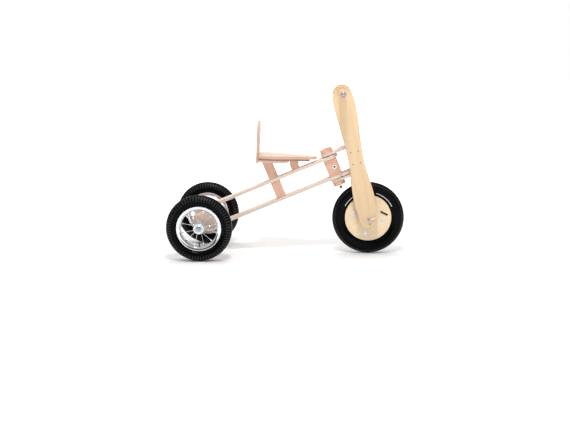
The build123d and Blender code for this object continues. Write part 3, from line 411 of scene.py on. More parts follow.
# %% Worn finishes
def worn_finish(name, dark, light, rough, rough_worn, bump=0.2, smear=60.0, speckle=900.0, **constants):
    """Finish whose colour and gloss drift with smears and speckle."""
    material, tree, shader = new_material(name, **constants)
    here = put(tree, "TexCoord").outputs["Object"]
    wear = use_group(tree, WEAR, {"Vector": here, "Smear Size": smear, "Speckle Size": speckle})
    tree.links.new(blend_tones(tree, wear["Smears"], dark, light), shader.inputs["Base Color"])
    tree.links.new(between(tree, wear["Smears"], 0.0, 1.0, rough, rough_worn), shader.inputs["Roughness"])
    grain = put(tree, "Bump", {"Height": wear["Speckle"], "Strength": bump, "Distance": 0.0002})
    tree.links.new(grain.outputs[0], shader.inputs["Normal"])
    return material


TYRE = worn_finish("tyre_rubber", tone(2, 2, 3), tone(5, 5, 7), 0.20, 0.30, bump=0.10, smear=35.0,
                   speckle=1600.0, Specular_IOR_Level=0.07)
# The paler rib rubber is a painted highlight for the light caught on raised tread faces.
RIB_PAINTED_HIGHLIGHT = worn_finish("tread_rib_painted_highlight", tone(16, 17, 20), tone(38, 40, 45), 0.42, 0.58, bump=0.15, smear=90.0,
                  speckle=1600.0, Specular_IOR_Level=0.25)
PALE_RUBBER = worn_finish("pale_moulded_rubber", tone(206, 208, 210), tone(176, 178, 182), 0.55, 0.7,
                          bump=0.15, smear=180.0)
TUBE = worn_finish("tube_rubber", tone(22, 22, 23), tone(34, 34, 35), 0.6, 0.75)
CHROME = worn_finish("polished_chrome", tone(232, 234, 238), tone(222, 225, 230), 0.05, 0.13,
                     bump=0.02, smear=45.0, Metallic=1.0)
HUB_METAL = worn_finish("turned_aluminium", tone(222, 224, 228), tone(202, 204, 210), 0.26, 0.42,
                        bump=0.08, smear=140.0, Metallic=1.0)
ZINC = worn_finish("zinc_plate", tone(226, 227, 229), tone(198, 201, 206), 0.30, 0.5,
                   bump=0.12, smear=260.0, Metallic=1.0)
NYLON = worn_finish("white_nylon", tone(240, 238, 234), tone(228, 226, 222), 0.42, 0.55,
                    bump=0.1, smear=200.0)
# This dark steel is painted shade: it darkens the connector screw heads in place of the shade in their
# sockets.
DARK_STEEL_PAINTED_SHADE = worn_finish("dark_steel_painted_shade", tone(52, 50, 50), tone(84, 80, 78), 0.35, 0.5,
                         bump=0.15, smear=300.0, Metallic=1.0)
BROWN_STEEL = worn_finish("browned_steel", tone(112, 92, 76), tone(136, 114, 96), 0.4, 0.55,
                          bump=0.15, smear=300.0, Metallic=0.6)
BRIGHT_STEEL = worn_finish("bright_steel", tone(178, 181, 190), tone(146, 150, 160), 0.16, 0.3,
                           bump=0.08, smear=200.0, Metallic=1.0)
PLASTIC = worn_finish("black_plastic", tone(20, 20, 21), tone(33, 33, 35), 0.38, 0.5,
                      bump=0.2, speckle=2200.0)
print("metal, rubber and plastic finishes ready")

# %% [markdown]
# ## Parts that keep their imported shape
# Bushes, tubes, axles, bearings and the steering rod are mostly hidden inside the head and hubs, so
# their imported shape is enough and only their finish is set.

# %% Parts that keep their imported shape
for name in ("upper_head_bush", "lower_head_bush", "rod_end_cap"):
    give(name, PLASTIC)
for name in ("front_tube", "rear_tube_right", "rear_tube_left"):
    give(name, TUBE)
for name in ("rear_axle", "axle_spacers", "front_axle", "front_axle_spacers", "front_axle_nut",
             "front_bearings", "rear_bearings_right", "rear_bearings_left", "steering_rod", "rod_nut",
             "fork_block_bolt"):
    give(name, ZINC)
give("front_hub", HUB_METAL)
print("packed metal, rubber and plastic finished")

# %% [markdown]
# ## Turning helpers
# A tyre, rim or washer is a section swept once round its axle. A handful of vertices make the section,
# `sweep` spins it, and the start and end rows are merged so that the ring is closed.


# %% Turning helpers
def arc_points(start, via, end, count):
    """Points of the circle through three points, from start to end, both included."""
    (ax, ay), (bx, by), (cx, cy) = start, via, end
    a_square, b_square, c_square = ax * ax + ay * ay, bx * bx + by * by, cx * cx + cy * cy
    d = 2 * (ax * (by - cy) + bx * (cy - ay) + cx * (ay - by))
    ux = (a_square * (by - cy) + b_square * (cy - ay) + c_square * (ay - by)) / d
    uy = (a_square * (cx - bx) + b_square * (ax - cx) + c_square * (bx - ax)) / d
    first, last = atan2(ay - uy, ax - ux), atan2(cy - uy, cx - ux)
    sweep = (last - first + pi) % (2 * pi) - pi
    radius = sqrt((ax - ux) ** 2 + (ay - uy) ** 2)
    turns = [first + sweep * i / (count - 1) for i in range(count)]
    return [(ux + radius * cos(turn), uy + radius * sin(turn)) for turn in turns]


def outline_loop(bm, outline, closed=True):
    """Vertices and edges of a section given as (radius, along the axle) in millimetres."""
    verts = [bm.verts.new((radius * MM, along * MM, 0)) for radius, along in outline]
    ends = list(zip(verts, verts[1:])) + ([(verts[-1], verts[0])] if closed else [])
    return verts, [bm.edges.new(pair) for pair in ends]


def sweep(bm, geom, angle, steps, **how):
    """Sweep geometry round the Y axis; how says what spin merges or copies."""
    return bmesh.ops.spin(bm, geom=geom, cent=(0, 0, 0), axis=(0, 1, 0), dvec=(0, 0, 0), angle=angle,
                          steps=steps, **how)


def turned(outline, steps, closed=True):
    """Ring or knob swept round the Y axis from its section."""
    bm = bmesh.new()
    verts, edges = outline_loop(bm, outline, closed)
    sweep(bm, verts + edges, 2 * pi, steps, use_merge=True)
    bmesh.ops.remove_doubles(bm, verts=bm.verts, dist=1e-6)
    bmesh.ops.recalc_face_normals(bm, faces=bm.faces)
    return bm


print("heights along a half circle", [round(y, 2) for x, y in arc_points((-1, 0), (0, 1), (1, 0), 5)])

# %% [markdown]
# ## Placing helpers
# Copies of a small piece are collected in one mesh, as one bag of nuts becomes one set. `settle` then
# makes the object with its vertices already in place, marks its sharp edges and lets it ride on a body.


# %% Placing helpers
def add_copy(target, part, place):
    """Add a placed copy of one bmesh to another."""
    mesh = bpy.data.meshes.new("part")
    part.to_mesh(mesh)
    mesh.transform(place)
    target.from_mesh(mesh)
    bpy.data.meshes.remove(mesh)


def flipped(way):
    """Half turn that points a +Y piece to -Y, for the right-hand side."""
    return Matrix.Identity(4) if way > 0 else Matrix.Rotation(pi, 4, "X")


def settle(name, bm, body, finish, replaced=(), at=(0, 0, 0), sharp=32):
    """Make the object from a bmesh: place it in its mesh, shade it, give its finish and its body."""
    bmesh.ops.translate(bm, verts=bm.verts, vec=Vector(at))
    for face in bm.faces:
        face.smooth = True
    for edge in bm.edges:
        edge.smooth = len(edge.link_faces) < 2 or edge.calc_face_angle(0) < radians(sharp)
    mesh = bpy.data.meshes.new(name)
    bm.to_mesh(mesh)
    bm.free()
    for material in (finish if isinstance(finish, list) else [finish]):
        mesh.materials.append(material)
    piece = bpy.data.objects.new(name, mesh)
    bpy.context.scene.collection.objects.link(piece)
    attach(piece, body)
    if replaced:
        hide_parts(*replaced)
    print(name, "faces", len(mesh.polygons))


print("placing helpers ready")

# %% [markdown]
# ## Rear tyres
# The rear tyres are small and fat, with ribs round the crown and a row of short cross ribs on each
# shoulder. One pitch of the tread is made from a section swept over a rib and then over a gap, the
# shoulder faces of the rib are inset and raised, and the pitch is copied round the wheel. The raised
# faces get a slightly paler rubber, a painted highlight for the light caught on the rib tops.

# %% Tread helpers
RIB_SLOT = 1


def tyre_outline(half, inside):
    """Closed section: the outer half mirrored, then the inner half mirrored back."""
    outer = half + [(radius, -along) for radius, along in reversed(half) if along > 0]
    inner = inside + [(radius, -along) for radius, along in reversed(inside) if along > 0]
    return outer + list(reversed(inner))


def treaded_tyre(outline, pitches, rib_share, shoulder, lift, shrink):
    """Tyre whose tread pitch is copied round the Y axis. Each shoulder row is raised where it lies
    between two distances from the middle plane and outside a least radius, in millimetres."""
    bm = bmesh.new()
    verts, edges = outline_loop(bm, outline)
    pitch = 2 * pi / pitches
    swept = sweep(bm, verts + edges, pitch * rib_share, 1)
    rib_faces = list(bm.faces)
    sweep(bm, swept["geom_last"], pitch * (1 - rib_share), 1)
    bmesh.ops.recalc_face_normals(bm, faces=bm.faces)
    crown = max(bm.faces, key=lambda face: face.calc_center_median().xz.length)
    if crown.normal.xz.dot(crown.calc_center_median().xz) < 0:
        bmesh.ops.reverse_faces(bm, faces=bm.faces)
    for low, high, least in shoulder:
        for sign in (-1, 1):
            band = [face for face in rib_faces
                    if low * MM < sign * face.calc_center_median().y < high * MM
                    and face.calc_center_median().xz.length > least * MM]
            bmesh.ops.inset_region(bm, faces=band, thickness=shrink * MM, depth=lift * MM,
                                   use_even_offset=True, use_boundary=True)
            # These raised faces take the paler rib rubber, a painted highlight.
            for face in band:
                face.material_index = RIB_SLOT
    sweep(bm, list(bm.verts) + list(bm.edges) + list(bm.faces), 2 * pi - pitch, pitches - 1,
          use_duplicate=True)
    bmesh.ops.remove_doubles(bm, verts=bm.verts, dist=2e-6)
    return bm


print("tread helpers ready")

# %% [markdown]
# ## Profile of the rear tyres
# The half section runs from the bead in the rim, over the bulging side wall and the stepped shoulder,
# to three ribs beside the middle of the crown. The casing is hollow, so an inner line follows inside it.

# %% Profile of the rear tyres
REAR_PITCHES = 68
RIB_LIFT, RIB_INSET = 1.3, 0.5
rear_half = [(80.5, 8.0), (80.5, 12.0), (90.5, 14.3), (92.2, 15.2), (93.0, 17.0)]
rear_half += arc_points((94.2, 18.8), (100, 23.5), (106, 25.8), 5)
rear_half += [(106.6, 25.2), (107.8, 25.4), (108.4, 26.3), (112.0, 26.5)]
rear_half += arc_points((113.5, 26.4), (122.0, 24.2), (129.2, 17.6), 9)[1:]
rear_half += [(129.9, 16.6), (128.9, 16.0), (129.4, 15.1), (131.2, 14.4), (132.5, 11.0), (131.2, 10.6),
              (131.5, 9.6), (133.2, 9.2), (134.0, 5.8), (132.6, 5.4), (132.8, 4.2), (134.3, 3.8),
              (134.5, 0.0)]
rear_inside = [(94.0, 9.5)] + arc_points((94.4, 10.4), (101.5, 19), (112, 22), 5)
rear_inside += arc_points((112, 22), (124.5, 15.4), (129.5, 0), 7)[1:]
for side in ("right", "left"):
    tyre = treaded_tyre(tyre_outline(rear_half, rear_inside), REAR_PITCHES, 0.54,
                        [(17.6, 26.6, 111.0)], RIB_LIFT, RIB_INSET)
    settle("rear_tyre_" + side + "_treaded", tyre, "rear_wheel_" + side, [TYRE, RIB_PAINTED_HIGHLIGHT], ["rear_tyre_" + side],
           at=WHEELS[side])

# %% [markdown]
# ## Front tyre
# The front tyre is taller and smoother: a fine file tread on the crown, a raised ring where the side
# wall begins and a sunken band beside the wheel disc.

# %% Front tyre
FRONT_PITCHES = 100
FINE_LIFT, FINE_INSET = 0.35, 0.4
front_half = [(89.2, 5.4), (89.2, 8.6), (98.6, 8.8), (99.4, 10.6), (101.5, 12.6), (105.0, 17.4),
              (106.2, 18.2), (107.2, 19.8), (109.0, 20.6)]
front_half += arc_points((111, 21.2), (118, 23.2), (124, 23.5), 5)
front_half += [(124.8, 23.9), (126.4, 23.9), (127.2, 23.2)]
front_half += arc_points((128.2, 23.1), (136.6, 20.6), (142.6, 16.4), 7)
front_half += [(143.0, 15.2), (144.6, 14.8), (146.2, 12.2), (145.6, 11.4), (146.0, 10.4), (147.4, 9.8),
               (148.4, 7.4), (147.8, 6.8), (148.0, 5.8), (149.3, 5.2), (149.8, 2.4), (149.0, 1.6),
               (149.1, 0.0)]
front_inside = [(101.0, 5.6)] + arc_points((102.4, 7.8), (109.5, 16), (124, 19.5), 6)
front_inside += arc_points((124, 19.5), (139.4, 14.8), (145.5, 0), 8)[1:]
# The raised shoulder rows of the front tyre also take the paler rib rubber, a painted highlight.
tyre = treaded_tyre(tyre_outline(front_half, front_inside), FRONT_PITCHES, 0.62,
                    [(15.6, 20.4, 130.0), (10.4, 12.2, 140.0)], FINE_LIFT, FINE_INSET)
settle("front_tyre_treaded", tyre, "front_wheel", [TYRE, RIB_PAINTED_HIGHLIGHT], ["front_tyre"], at=WHEELS["front"])

# %% [markdown]
# ## Pale arcs on the front tyre
# Where a tyre maker moulds pale marks into the side wall, this one has two plain raised bands. The
# section of a band is swept through part of a turn and its two open ends are filled.

# %% Pale arcs on the front tyre
band_section = [(107.4, 19.4), (107.5, 21.0), (107.9, 21.5), (110.3, 22.3), (110.8, 22.0), (110.9, 20.2)]
ARC_TURNS = ((73, 27), (152, 118))
arcs = bmesh.new()
for first, last in ARC_TURNS:
    band = bmesh.new()
    verts, edges = outline_loop(band, band_section)
    sweep(band, verts + edges, radians(first - last), 24)
    open_edges = [edge for edge in band.edges if edge.is_boundary]
    bmesh.ops.holes_fill(band, edges=open_edges, sides=0)
    bmesh.ops.recalc_face_normals(band, faces=band.faces)
    for half_turn in (0, pi):
        add_copy(arcs, band, Matrix.Rotation(half_turn, 4, "Z") @ Matrix.Scale(-1, 4, SIDEWAYS)
                 @ Matrix.Rotation(-radians(first), 4, "Y"))
    band.free()
bmesh.ops.recalc_face_normals(arcs, faces=arcs.faces)
settle("front_tyre_pale_arcs", arcs, "front_wheel", PALE_RUBBER, [], at=WHEELS["front"])

# %% [markdown]
# ## Chrome rims
# A cycle rim is a rolled strip: curled lips hold the tyre, and the well between them is closed towards
# the hub. Its section is drawn once with the small curls of the lips and swept round the axle.

# %% Chrome rims
lip = [(90.6, 16.6), (91.0, 17.6), (90.5, 18.7), (89.3, 19.0), (88.0, 18.6), (87.4, 17.9), (86.4, 17.7)]
rim_face = lip + [(83.4, 17.3), (80.2, 16.3), (77.7, 14.4), (76.0, 11.7), (74.9, 9.0), (74.2, 7.9),
                  (74.0, 6.2), (74.3, 5.4), (74.3, 0.0)]
rim_well = [(88.9, 15.6), (80.0, 13.6), (77.4, 6.0), (77.4, 0.0)]
RIM_STEPS = 112
for side in ("right", "left"):
    rim = turned(tyre_outline(rim_face, rim_well), RIM_STEPS)
    settle("rear_rim_" + side + "_rolled", rim, "rear_wheel_" + side, CHROME, ["rear_rim_" + side],
           at=WHEELS[side], sharp=50)

# %% [markdown]
# ## Spokes and nipples
# A spoke is a wire with a flat head at the hub flange and a threaded nipple at the rim. One of each is
# turned, leaned from its flange to the middle of the rim, and copied round the hub on alternate sides.

# %% Spokes and nipples
SPOKE_COUNT = 12
FIRST_SPOKE = 15
FLANGE_SIDE, FLANGE_REACH = 20.2, 21.4
RIM_REACH, RIM_SIDE_SHARE = 73.6, 0.12
SPOKE_LONG = 51.6
spoke_wire = [(0.0, -1.1), (1.5, -0.9), (1.9, -0.2), (1.9, 0.2), (1.0, 0.8), (0.95, 1.6), (0.9, 24),
              (0.9, 40.0), (1.15, 40.6), (1.9, 41.4), (2.0, 44.6), (2.3, 45.2), (2.4, 49.4), (3.2, 50.2),
              (3.4, 51.4), (0.0, SPOKE_LONG)]


def wire_wheel():
    """All the spokes of one wheel, leaned to alternate flanges."""
    bm = bmesh.new()
    one = turned(spoke_wire, 10, closed=False)
    for index in range(SPOKE_COUNT):
        angle = radians(FIRST_SPOKE + index * 360 / SPOKE_COUNT)
        out = Vector((cos(angle), 0, sin(angle)))
        flange = FLANGE_SIDE * (1 if index % 2 else -1) * MM
        start = out * FLANGE_REACH * MM + Vector((0, flange, 0))
        end = out * RIM_REACH * MM + Vector((0, flange * RIM_SIDE_SHARE, 0))
        lean = SIDEWAYS.rotation_difference(end - start).to_matrix().to_4x4()
        reach = (end - start).length / (SPOKE_LONG * MM)
        add_copy(bm, one, Matrix.Translation(start) @ lean @ Matrix.Diagonal((1, reach, 1, 1)))
    one.free()
    return bm


for side in ("right", "left"):
    settle("rear_spokes_" + side + "_wire", wire_wheel(), "rear_wheel_" + side, CHROME,
           ["rear_spokes_" + side], at=WHEELS[side], sharp=50)

# %% [markdown]
# ## Rear hubs
# The hub shell is turned from aluminium: two thin flanges with a small rolled edge, a waisted barrel
# with a grease band, and a stepped dust cap over each bearing.

# %% Rear hubs
hub_half = [(7.5, 24.4), (9.8, 24.6), (10.4, 25.0), (12.4, 25.0), (13.0, 24.4), (13.0, 22.2), (13.8, 21.6),
            (20.2, 21.4), (21.2, 21.5), (21.6, 20.9), (21.6, 19.6), (21.2, 19.0), (20.2, 19.1),
            (14.4, 18.6), (12.8, 17.2), (11.6, 13.0), (11.1, 8.0), (11.9, 7.4), (11.9, 5.6), (11.1, 5.0),
            (11.0, 0.0)]
hub_bore = [(7.5, 0.0)]
HUB_STEPS = 56
for side in ("right", "left"):
    hub = turned(tyre_outline(hub_half, hub_bore), HUB_STEPS)
    settle("rear_hub_" + side + "_turned", hub, "rear_wheel_" + side, HUB_METAL, ["rear_hub_" + side],
           at=WHEELS[side], sharp=30)

# %% [markdown]
# ## Nuts, washers and bolt heads
# Every fastener head starts as a filled circle, is raised to its height, and has its top edge bevelled.
# The drive recess is an inset ring of the top face whose vertices are moved onto a hexagon or a cross
# before it is pushed down, so the recess shares the head's own vertices.

# %% Fastener helpers
def recess_reach(angle, kind, radius):
    """Distance from the middle to the recess edge in a direction, for a hexagon or a cross."""
    if kind == "hexagon":
        turn = (angle % (pi / 3)) - pi / 6
        return radius * cos(pi / 6) / cos(turn)
    arm_half_width, inner_share = 0.26, 0.42
    turn = abs((angle + pi / 4) % (pi / 2) - pi / 4)
    return radius if turn < arm_half_width else radius * inner_share


def widest_top(bm):
    """Topmost face, the widest one where several share that height."""
    return max(bm.faces, key=lambda face: face.calc_center_median().z * 1000 + face.calc_area())


def rounded(bm, edges, offset, segments=2):
    """Bevel some edges."""
    bmesh.ops.bevel(bm, geom=edges, offset=offset, offset_type="OFFSET", affect="EDGES", segments=segments,
                    profile=0.5, material=-1, clamp_overlap=True)


def fastener_head(radius, height, round_off, kind, recess, deep):
    """Round head standing on its seat, top towards +Z, with a drive recess."""
    bm = bmesh.new()
    bmesh.ops.create_circle(bm, cap_ends=True, segments=24, radius=radius)
    raised = bmesh.ops.extrude_face_region(bm, geom=list(bm.faces))
    top_verts = [item for item in raised["geom"] if isinstance(item, bmesh.types.BMVert)]
    bmesh.ops.translate(bm, verts=top_verts, vec=(0, 0, height))
    top = [face for face in bm.faces if all(vert.co.z > height * 0.9 for vert in face.verts)]
    rounded(bm, list(top[0].edges), round_off, segments=3)
    bmesh.ops.recalc_face_normals(bm, faces=bm.faces)
    top = [widest_top(bm)]
    reach = min(vert.co.xy.length for vert in top[0].verts)
    bmesh.ops.inset_region(bm, faces=top, thickness=max(reach - recess * 1.1, 1e-5), depth=0.0,
                           use_even_offset=True)
    for vert in top[0].verts:
        angle = atan2(vert.co.y, vert.co.x)
        far = recess_reach(angle, kind, recess)
        vert.co.x, vert.co.y = far * cos(angle), far * sin(angle)
    pushed = bmesh.ops.extrude_face_region(bm, geom=top)
    low = [item for item in pushed["geom"] if isinstance(item, bmesh.types.BMVert)]
    bmesh.ops.delete(bm, geom=top, context="FACES_ONLY")
    bmesh.ops.translate(bm, verts=low, vec=(0, 0, -deep))
    return bm


def facing(at, outward):
    """Placement that turns a head's +Z to point outwards at a place."""
    return Matrix.Translation(at) @ outward.to_track_quat("Z", "Y").to_matrix().to_4x4()


print("fastener helpers ready")

# %% [markdown]
# ## Where the fasteners sit
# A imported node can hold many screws, so their places are read from it. Vertices that edges join belong
# to one solid, and the wider end of a screw is its head. A nut that touches its bolt counts with it.


# %% Where the fasteners sit
def loose_solids(name):
    """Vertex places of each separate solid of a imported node, read from a merged copy."""
    bm = bmesh.new()
    bm.from_mesh(nodes[name].data)
    bmesh.ops.remove_doubles(bm, verts=bm.verts, dist=2e-6)
    left, solids = set(bm.verts), []
    while left:
        front, solid = [left.pop()], []
        while front:
            vert = front.pop()
            solid.append(vert.co.copy())
            for edge in vert.link_edges:
                other = edge.other_vert(vert)
                if other in left:
                    left.remove(other)
                    front.append(other)
        solids.append(solid)
    bm.free()
    return solids


def head_end(solid, axis):
    """Middle, outward direction and radius of the wider end of a screw-like solid."""
    along = [point.dot(axis) for point in solid]
    best = None
    for limit, way in ((max(along), axis), (min(along), -axis)):
        end = [point for point, place in zip(solid, along) if abs(place - limit) < 5e-5]
        low, high = corners_of(end)
        middle = (low + high) / 2
        reach = max((point - middle).length for point in end)
        if best is None or reach > best[2]:
            best = (middle, way, reach)
    return best


print("solids in seat_screws", len(loose_solids("seat_screws")))

# %% [markdown]
# ## Wood screws
# Countersunk screws lie flush in the wood with only the disc and the cross recess of the head showing.
# Each one is set a little into its hole so that its edge stands just proud of the board.


# %% Wood screws
def screw_heads(node, axis, body, finish):
    """Flush heads with a cross recess in place of a node's plain screws."""
    sunk = 0.4 * MM
    bm = bmesh.new()
    for solid in loose_solids(node):
        middle, way, reach = head_end(solid, axis)
        head = fastener_head(reach, 0.6 * MM, 0.25 * MM, "cross", reach * 0.62, 0.9 * MM)
        add_copy(bm, head, facing(middle - way * sunk, way))
        head.free()
    settle(node + "_heads", bm, body, finish, [node])


screw_heads("fork_side_screws", SIDEWAYS, "fork", BROWN_STEEL)
screw_heads("frame_screws", STEER_UP, "frame", ZINC)
screw_heads("seat_screws", SEAT_UP, "frame", ZINC)
screw_heads("backrest_screws", SEAT_ALONG, "frame", ZINC)

# %% [markdown]
# ## Nuts and threads
# A nut is a six-sided prism with chamfered corners and a countersunk hole. A thread is a stack of small
# rings swept in one section, which looks like a thread at this size.


# %% Nuts and threads
def threaded_end(radius, low, high, pitch):
    """Section of a short threaded stud from low to high along its axis, in millimetres."""
    thread_deep = 0.55
    outline, at = [(0.0, low)], low
    while at + pitch <= high - 0.6:
        outline += [(radius - thread_deep, at + pitch * 0.1), (radius, at + pitch * 0.4),
                    (radius, at + pitch * 0.6), (radius - thread_deep, at + pitch * 0.9)]
        at += pitch
    return outline + [(radius - 0.4, at + 0.1), (radius - 1.4, high), (0.0, high)]


def hexagon_nut(radius, height, hole):
    """Chamfered hexagon nut standing on its seat, top towards +Z."""
    bm = bmesh.new()
    bmesh.ops.create_cone(bm, cap_ends=True, segments=6, radius1=radius, radius2=radius, depth=height)
    bmesh.ops.translate(bm, verts=bm.verts, vec=(0, 0, height / 2))
    caps = [edge for edge in bm.edges if abs(edge.verts[0].co.z - edge.verts[1].co.z) < 1e-7]
    rounded(bm, caps, radius * 0.09)
    top = [widest_top(bm)]
    bmesh.ops.inset_region(bm, faces=top, thickness=radius * cos(pi / 6) * 0.86 - hole, depth=0.0,
                           use_even_offset=True)
    bmesh.ops.inset_region(bm, faces=top, thickness=hole * 0.12, depth=-hole * 0.14, use_even_offset=True)
    bmesh.ops.recalc_face_normals(bm, faces=bm.faces)
    return bm


print("points in a short thread", len(threaded_end(5.6, 6.0, 15.4, 1.5)))

# %% [markdown]
# ## Axle nuts
# Each end of the rear axle carries a washer and a chamfered hexagon nut, and the threaded axle end
# stands out of it.

# %% Axle nuts
axle_low, axle_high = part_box("axle_nuts")
NUT_REACH = min((axle_high.z - axle_low.z) / 2, 9.8 * MM)
NUT_SEAT = 205.6 * MM
WASHER_HIGH = 1.6 * MM
WASHER_STEPS = 40
bm = bmesh.new()
washer = turned([(6.0, 0.0), (9.6, 0.0), (10.0, 0.4), (10.0, 1.2), (9.6, 1.6), (6.0, 1.6)], WASHER_STEPS)
nut = hexagon_nut(NUT_REACH, 7.8 * MM, 5.8 * MM)
stud = turned(threaded_end(5.6, 6.0, 15.4, 1.5), 24, closed=False)
for side, way in (("right", -1), ("left", 1)):
    seat = Vector((WHEELS[side].x, way * NUT_SEAT, WHEELS[side].z))
    outward = way * SIDEWAYS
    add_copy(bm, washer, Matrix.Translation(seat) @ flipped(way))
    add_copy(bm, nut, facing(seat + outward * WASHER_HIGH, outward))
    add_copy(bm, stud, Matrix.Translation(seat) @ flipped(way))
print("nut box of the packed node", [round(v, 4) for v in axle_low], [round(v, 4) for v in axle_high])
settle("axle_nuts_and_washers", bm, "frame", BRIGHT_STEEL, ["axle_nuts"])

# %% [markdown]
# ## Bolts of the wheel disc
# Four bolts clamp the two plywood halves of the front wheel. Outside is a broad bright washer under a low
# domed head with a hexagon socket, and inside is the same washer under a nut.

# %% Bolts of the wheel disc
DISC_FACE = 12.0 * MM
bm = bmesh.new()
broad = turned([(3.0, 0.0), (9.2, 0.0), (9.6, 0.35), (9.6, 1.15), (9.1, 1.5), (7.0, 1.55), (3.0, 1.6)],
               WASHER_STEPS)
dome = fastener_head(5.6 * MM, 2.8 * MM, 1.4 * MM, "hexagon", 2.6 * MM, 1.8 * MM)
back_nut = hexagon_nut(5.6 * MM, 5.2 * MM, 3.1 * MM)
tip = turned(threaded_end(2.8, 6.0, 9.0, 1.0), 16, closed=False)
for solid in loose_solids("disc_fasteners"):
    low, high = corners_of(solid)
    if low.y > -DISC_FACE:
        continue
    right_seat = Vector(((low.x + high.x) / 2, -DISC_FACE, (low.z + high.z) / 2))
    left_seat = right_seat + 2 * DISC_FACE * SIDEWAYS
    add_copy(bm, broad, Matrix.Translation(right_seat) @ flipped(-1))
    add_copy(bm, dome, facing(right_seat - WASHER_HIGH * SIDEWAYS, -SIDEWAYS))
    add_copy(bm, broad, Matrix.Translation(left_seat))
    add_copy(bm, back_nut, facing(left_seat + WASHER_HIGH * SIDEWAYS, SIDEWAYS))
    add_copy(bm, tip, Matrix.Translation(left_seat))
settle("disc_bolts_and_washers", bm, "front_wheel", ZINC, ["disc_fasteners"])

# %% [markdown]
# ## Cross connector of the head
# A connector bolt goes through the head block from side to side. A pale nylon ring sits on the wood and
# the small screw head with its hexagon socket sits inside the ring; the head is painted dark, as painted
# shade for its socket.

# %% Cross connector of the head
RING_SUNK = 2.0 * MM
bm, rings = bmesh.new(), bmesh.new()
ring = turned([(4.4, 0.0), (8.7, 0.0), (8.9, 0.5), (8.6, 1.3), (7.6, 1.9), (5.4, 1.9), (4.7, 1.5),
               (4.4, 0.9)], WASHER_STEPS)
connector = fastener_head(4.4 * MM, 1.6 * MM, 0.6 * MM, "hexagon", 2.4 * MM, 1.3 * MM)
for solid in loose_solids("head_cross_fasteners"):
    middle, way, reach = head_end(solid, SIDEWAYS)
    add_copy(bm, connector, facing(middle - way * RING_SUNK, way))
    add_copy(rings, ring, Matrix.Translation(middle - way * RING_SUNK) @ flipped(way.y))
# The screw heads take the dark steel, a painted shade for their sockets.
settle("head_connector_screws", bm, "frame", DARK_STEEL_PAINTED_SHADE, ["head_cross_fasteners"])
settle("head_connector_rings", rings, "frame", NYLON, [])

# %% [markdown]
# ## Buttons in the ends of the handlebar
# Each end of the bar is closed by a shallow metal button with a rolled edge and a dimple that holds the
# hexagon socket of its screw.

# %% Buttons in the ends of the handlebar
BUTTON_SET_BACK = 4.0 * MM
DIMPLE_FLOOR = 1.3 * MM
bm = bmesh.new()
button = turned([(10.3, 0.0), (10.5, 0.5), (10.3, 1.2), (9.4, 2.1), (8.2, 2.5), (7.2, 2.2), (6.5, 1.5),
                 (6.2, 1.4), (0.0, 1.4)], WASHER_STEPS, closed=False)
middle_screw = fastener_head(5.2 * MM, 2.4 * MM, 1.0 * MM, "hexagon", 2.6 * MM, 1.9 * MM)
for solid in loose_solids("handlebar_end_buttons"):
    way = 1 if solid[0].y > 0 else -1
    tip = max(abs(point.y) for point in solid) - BUTTON_SET_BACK
    low, high = corners_of(solid)
    seat = Vector(((low.x + high.x) / 2, way * tip, (low.z + high.z) / 2))
    add_copy(bm, button, Matrix.Translation(seat) @ flipped(way))
    add_copy(bm, middle_screw, facing(seat + way * DIMPLE_FLOOR * SIDEWAYS, way * SIDEWAYS))
settle("handlebar_buttons", bm, "fork", BRIGHT_STEEL, ["handlebar_end_buttons"])

# %% [markdown]
# ## Quick-release lever
# The lever is a cast arm: a neck beside the round cam, and a slightly dished finger pad. A box is cut
# into lengths, each cross section is scaled to the arm's width there, and every edge is bevelled so that
# it looks cast.

# %% Quick-release lever
LEVER_RISE = radians(21)
ARM_SIDE = 1.2 * MM
ARM_CUTS = (4.0, 7.5, 13.0, 20.0, 26.0)
NECK_END, WAIST_END = 9.0 * MM, 15.0 * MM
lever_turn = Matrix.Translation(joint_at["quick_release"]) @ Matrix.Rotation(-LEVER_RISE, 4, "Y")
bm = bmesh.new()
bmesh.ops.create_cube(bm, size=1.0)
bmesh.ops.scale(bm, verts=bm.verts, vec=(28.5 * MM, 3.6 * MM, 6.6 * MM))
bmesh.ops.translate(bm, verts=bm.verts, vec=(15.2 * MM, ARM_SIDE, 0))
for cut in ARM_CUTS:
    bmesh.ops.bisect_plane(bm, geom=list(bm.verts) + list(bm.edges) + list(bm.faces),
                           plane_co=(cut * MM, 0, 0), plane_no=(1, 0, 0))
for vert in bm.verts:
    place = vert.co.x
    thick = 1.15 if place < 6.0 * MM else 0.85
    dished = 0.6 * MM if place > 24.0 * MM else 0.0
    vert.co.z *= 0.72 if place < NECK_END else (0.86 if place < WAIST_END else 1.0)
    vert.co.y = ARM_SIDE + (vert.co.y - ARM_SIDE) * thick - dished
rounded(bm, list(bm.edges), 0.6 * MM)
bmesh.ops.transform(bm, matrix=lever_turn, verts=bm.verts)
settle("quick_release_arm", bm, "quick_release_lever", HUB_METAL, ["quick_release_lever"],
       sharp=40)

# %% [markdown]
# ## Cam of the quick release
# The arm turns on a short round cam with rounded rims, which pulls the axle tight as it swings over.

# %% Cam of the quick release
cam = turned([(0.0, -4.5), (3.4, -4.5), (4.4, -4.2), (4.9, -3.6), (5.0, -3.0), (5.0, 3.0), (4.9, 3.6),
              (4.4, 4.2), (3.4, 4.5), (0.0, 4.5)], 32, closed=False)
bmesh.ops.transform(cam, matrix=lever_turn @ Matrix.Rotation(pi / 2, 4, "X"), verts=cam.verts)
settle("quick_release_cam", cam, "quick_release_lever", BRIGHT_STEEL, [])

# %% [markdown]
# ## Floor
# Products are shown on white. The floor is a plain pale sheet that takes the soft shadows, and further out
# it fades into pure white so that it has no edge.

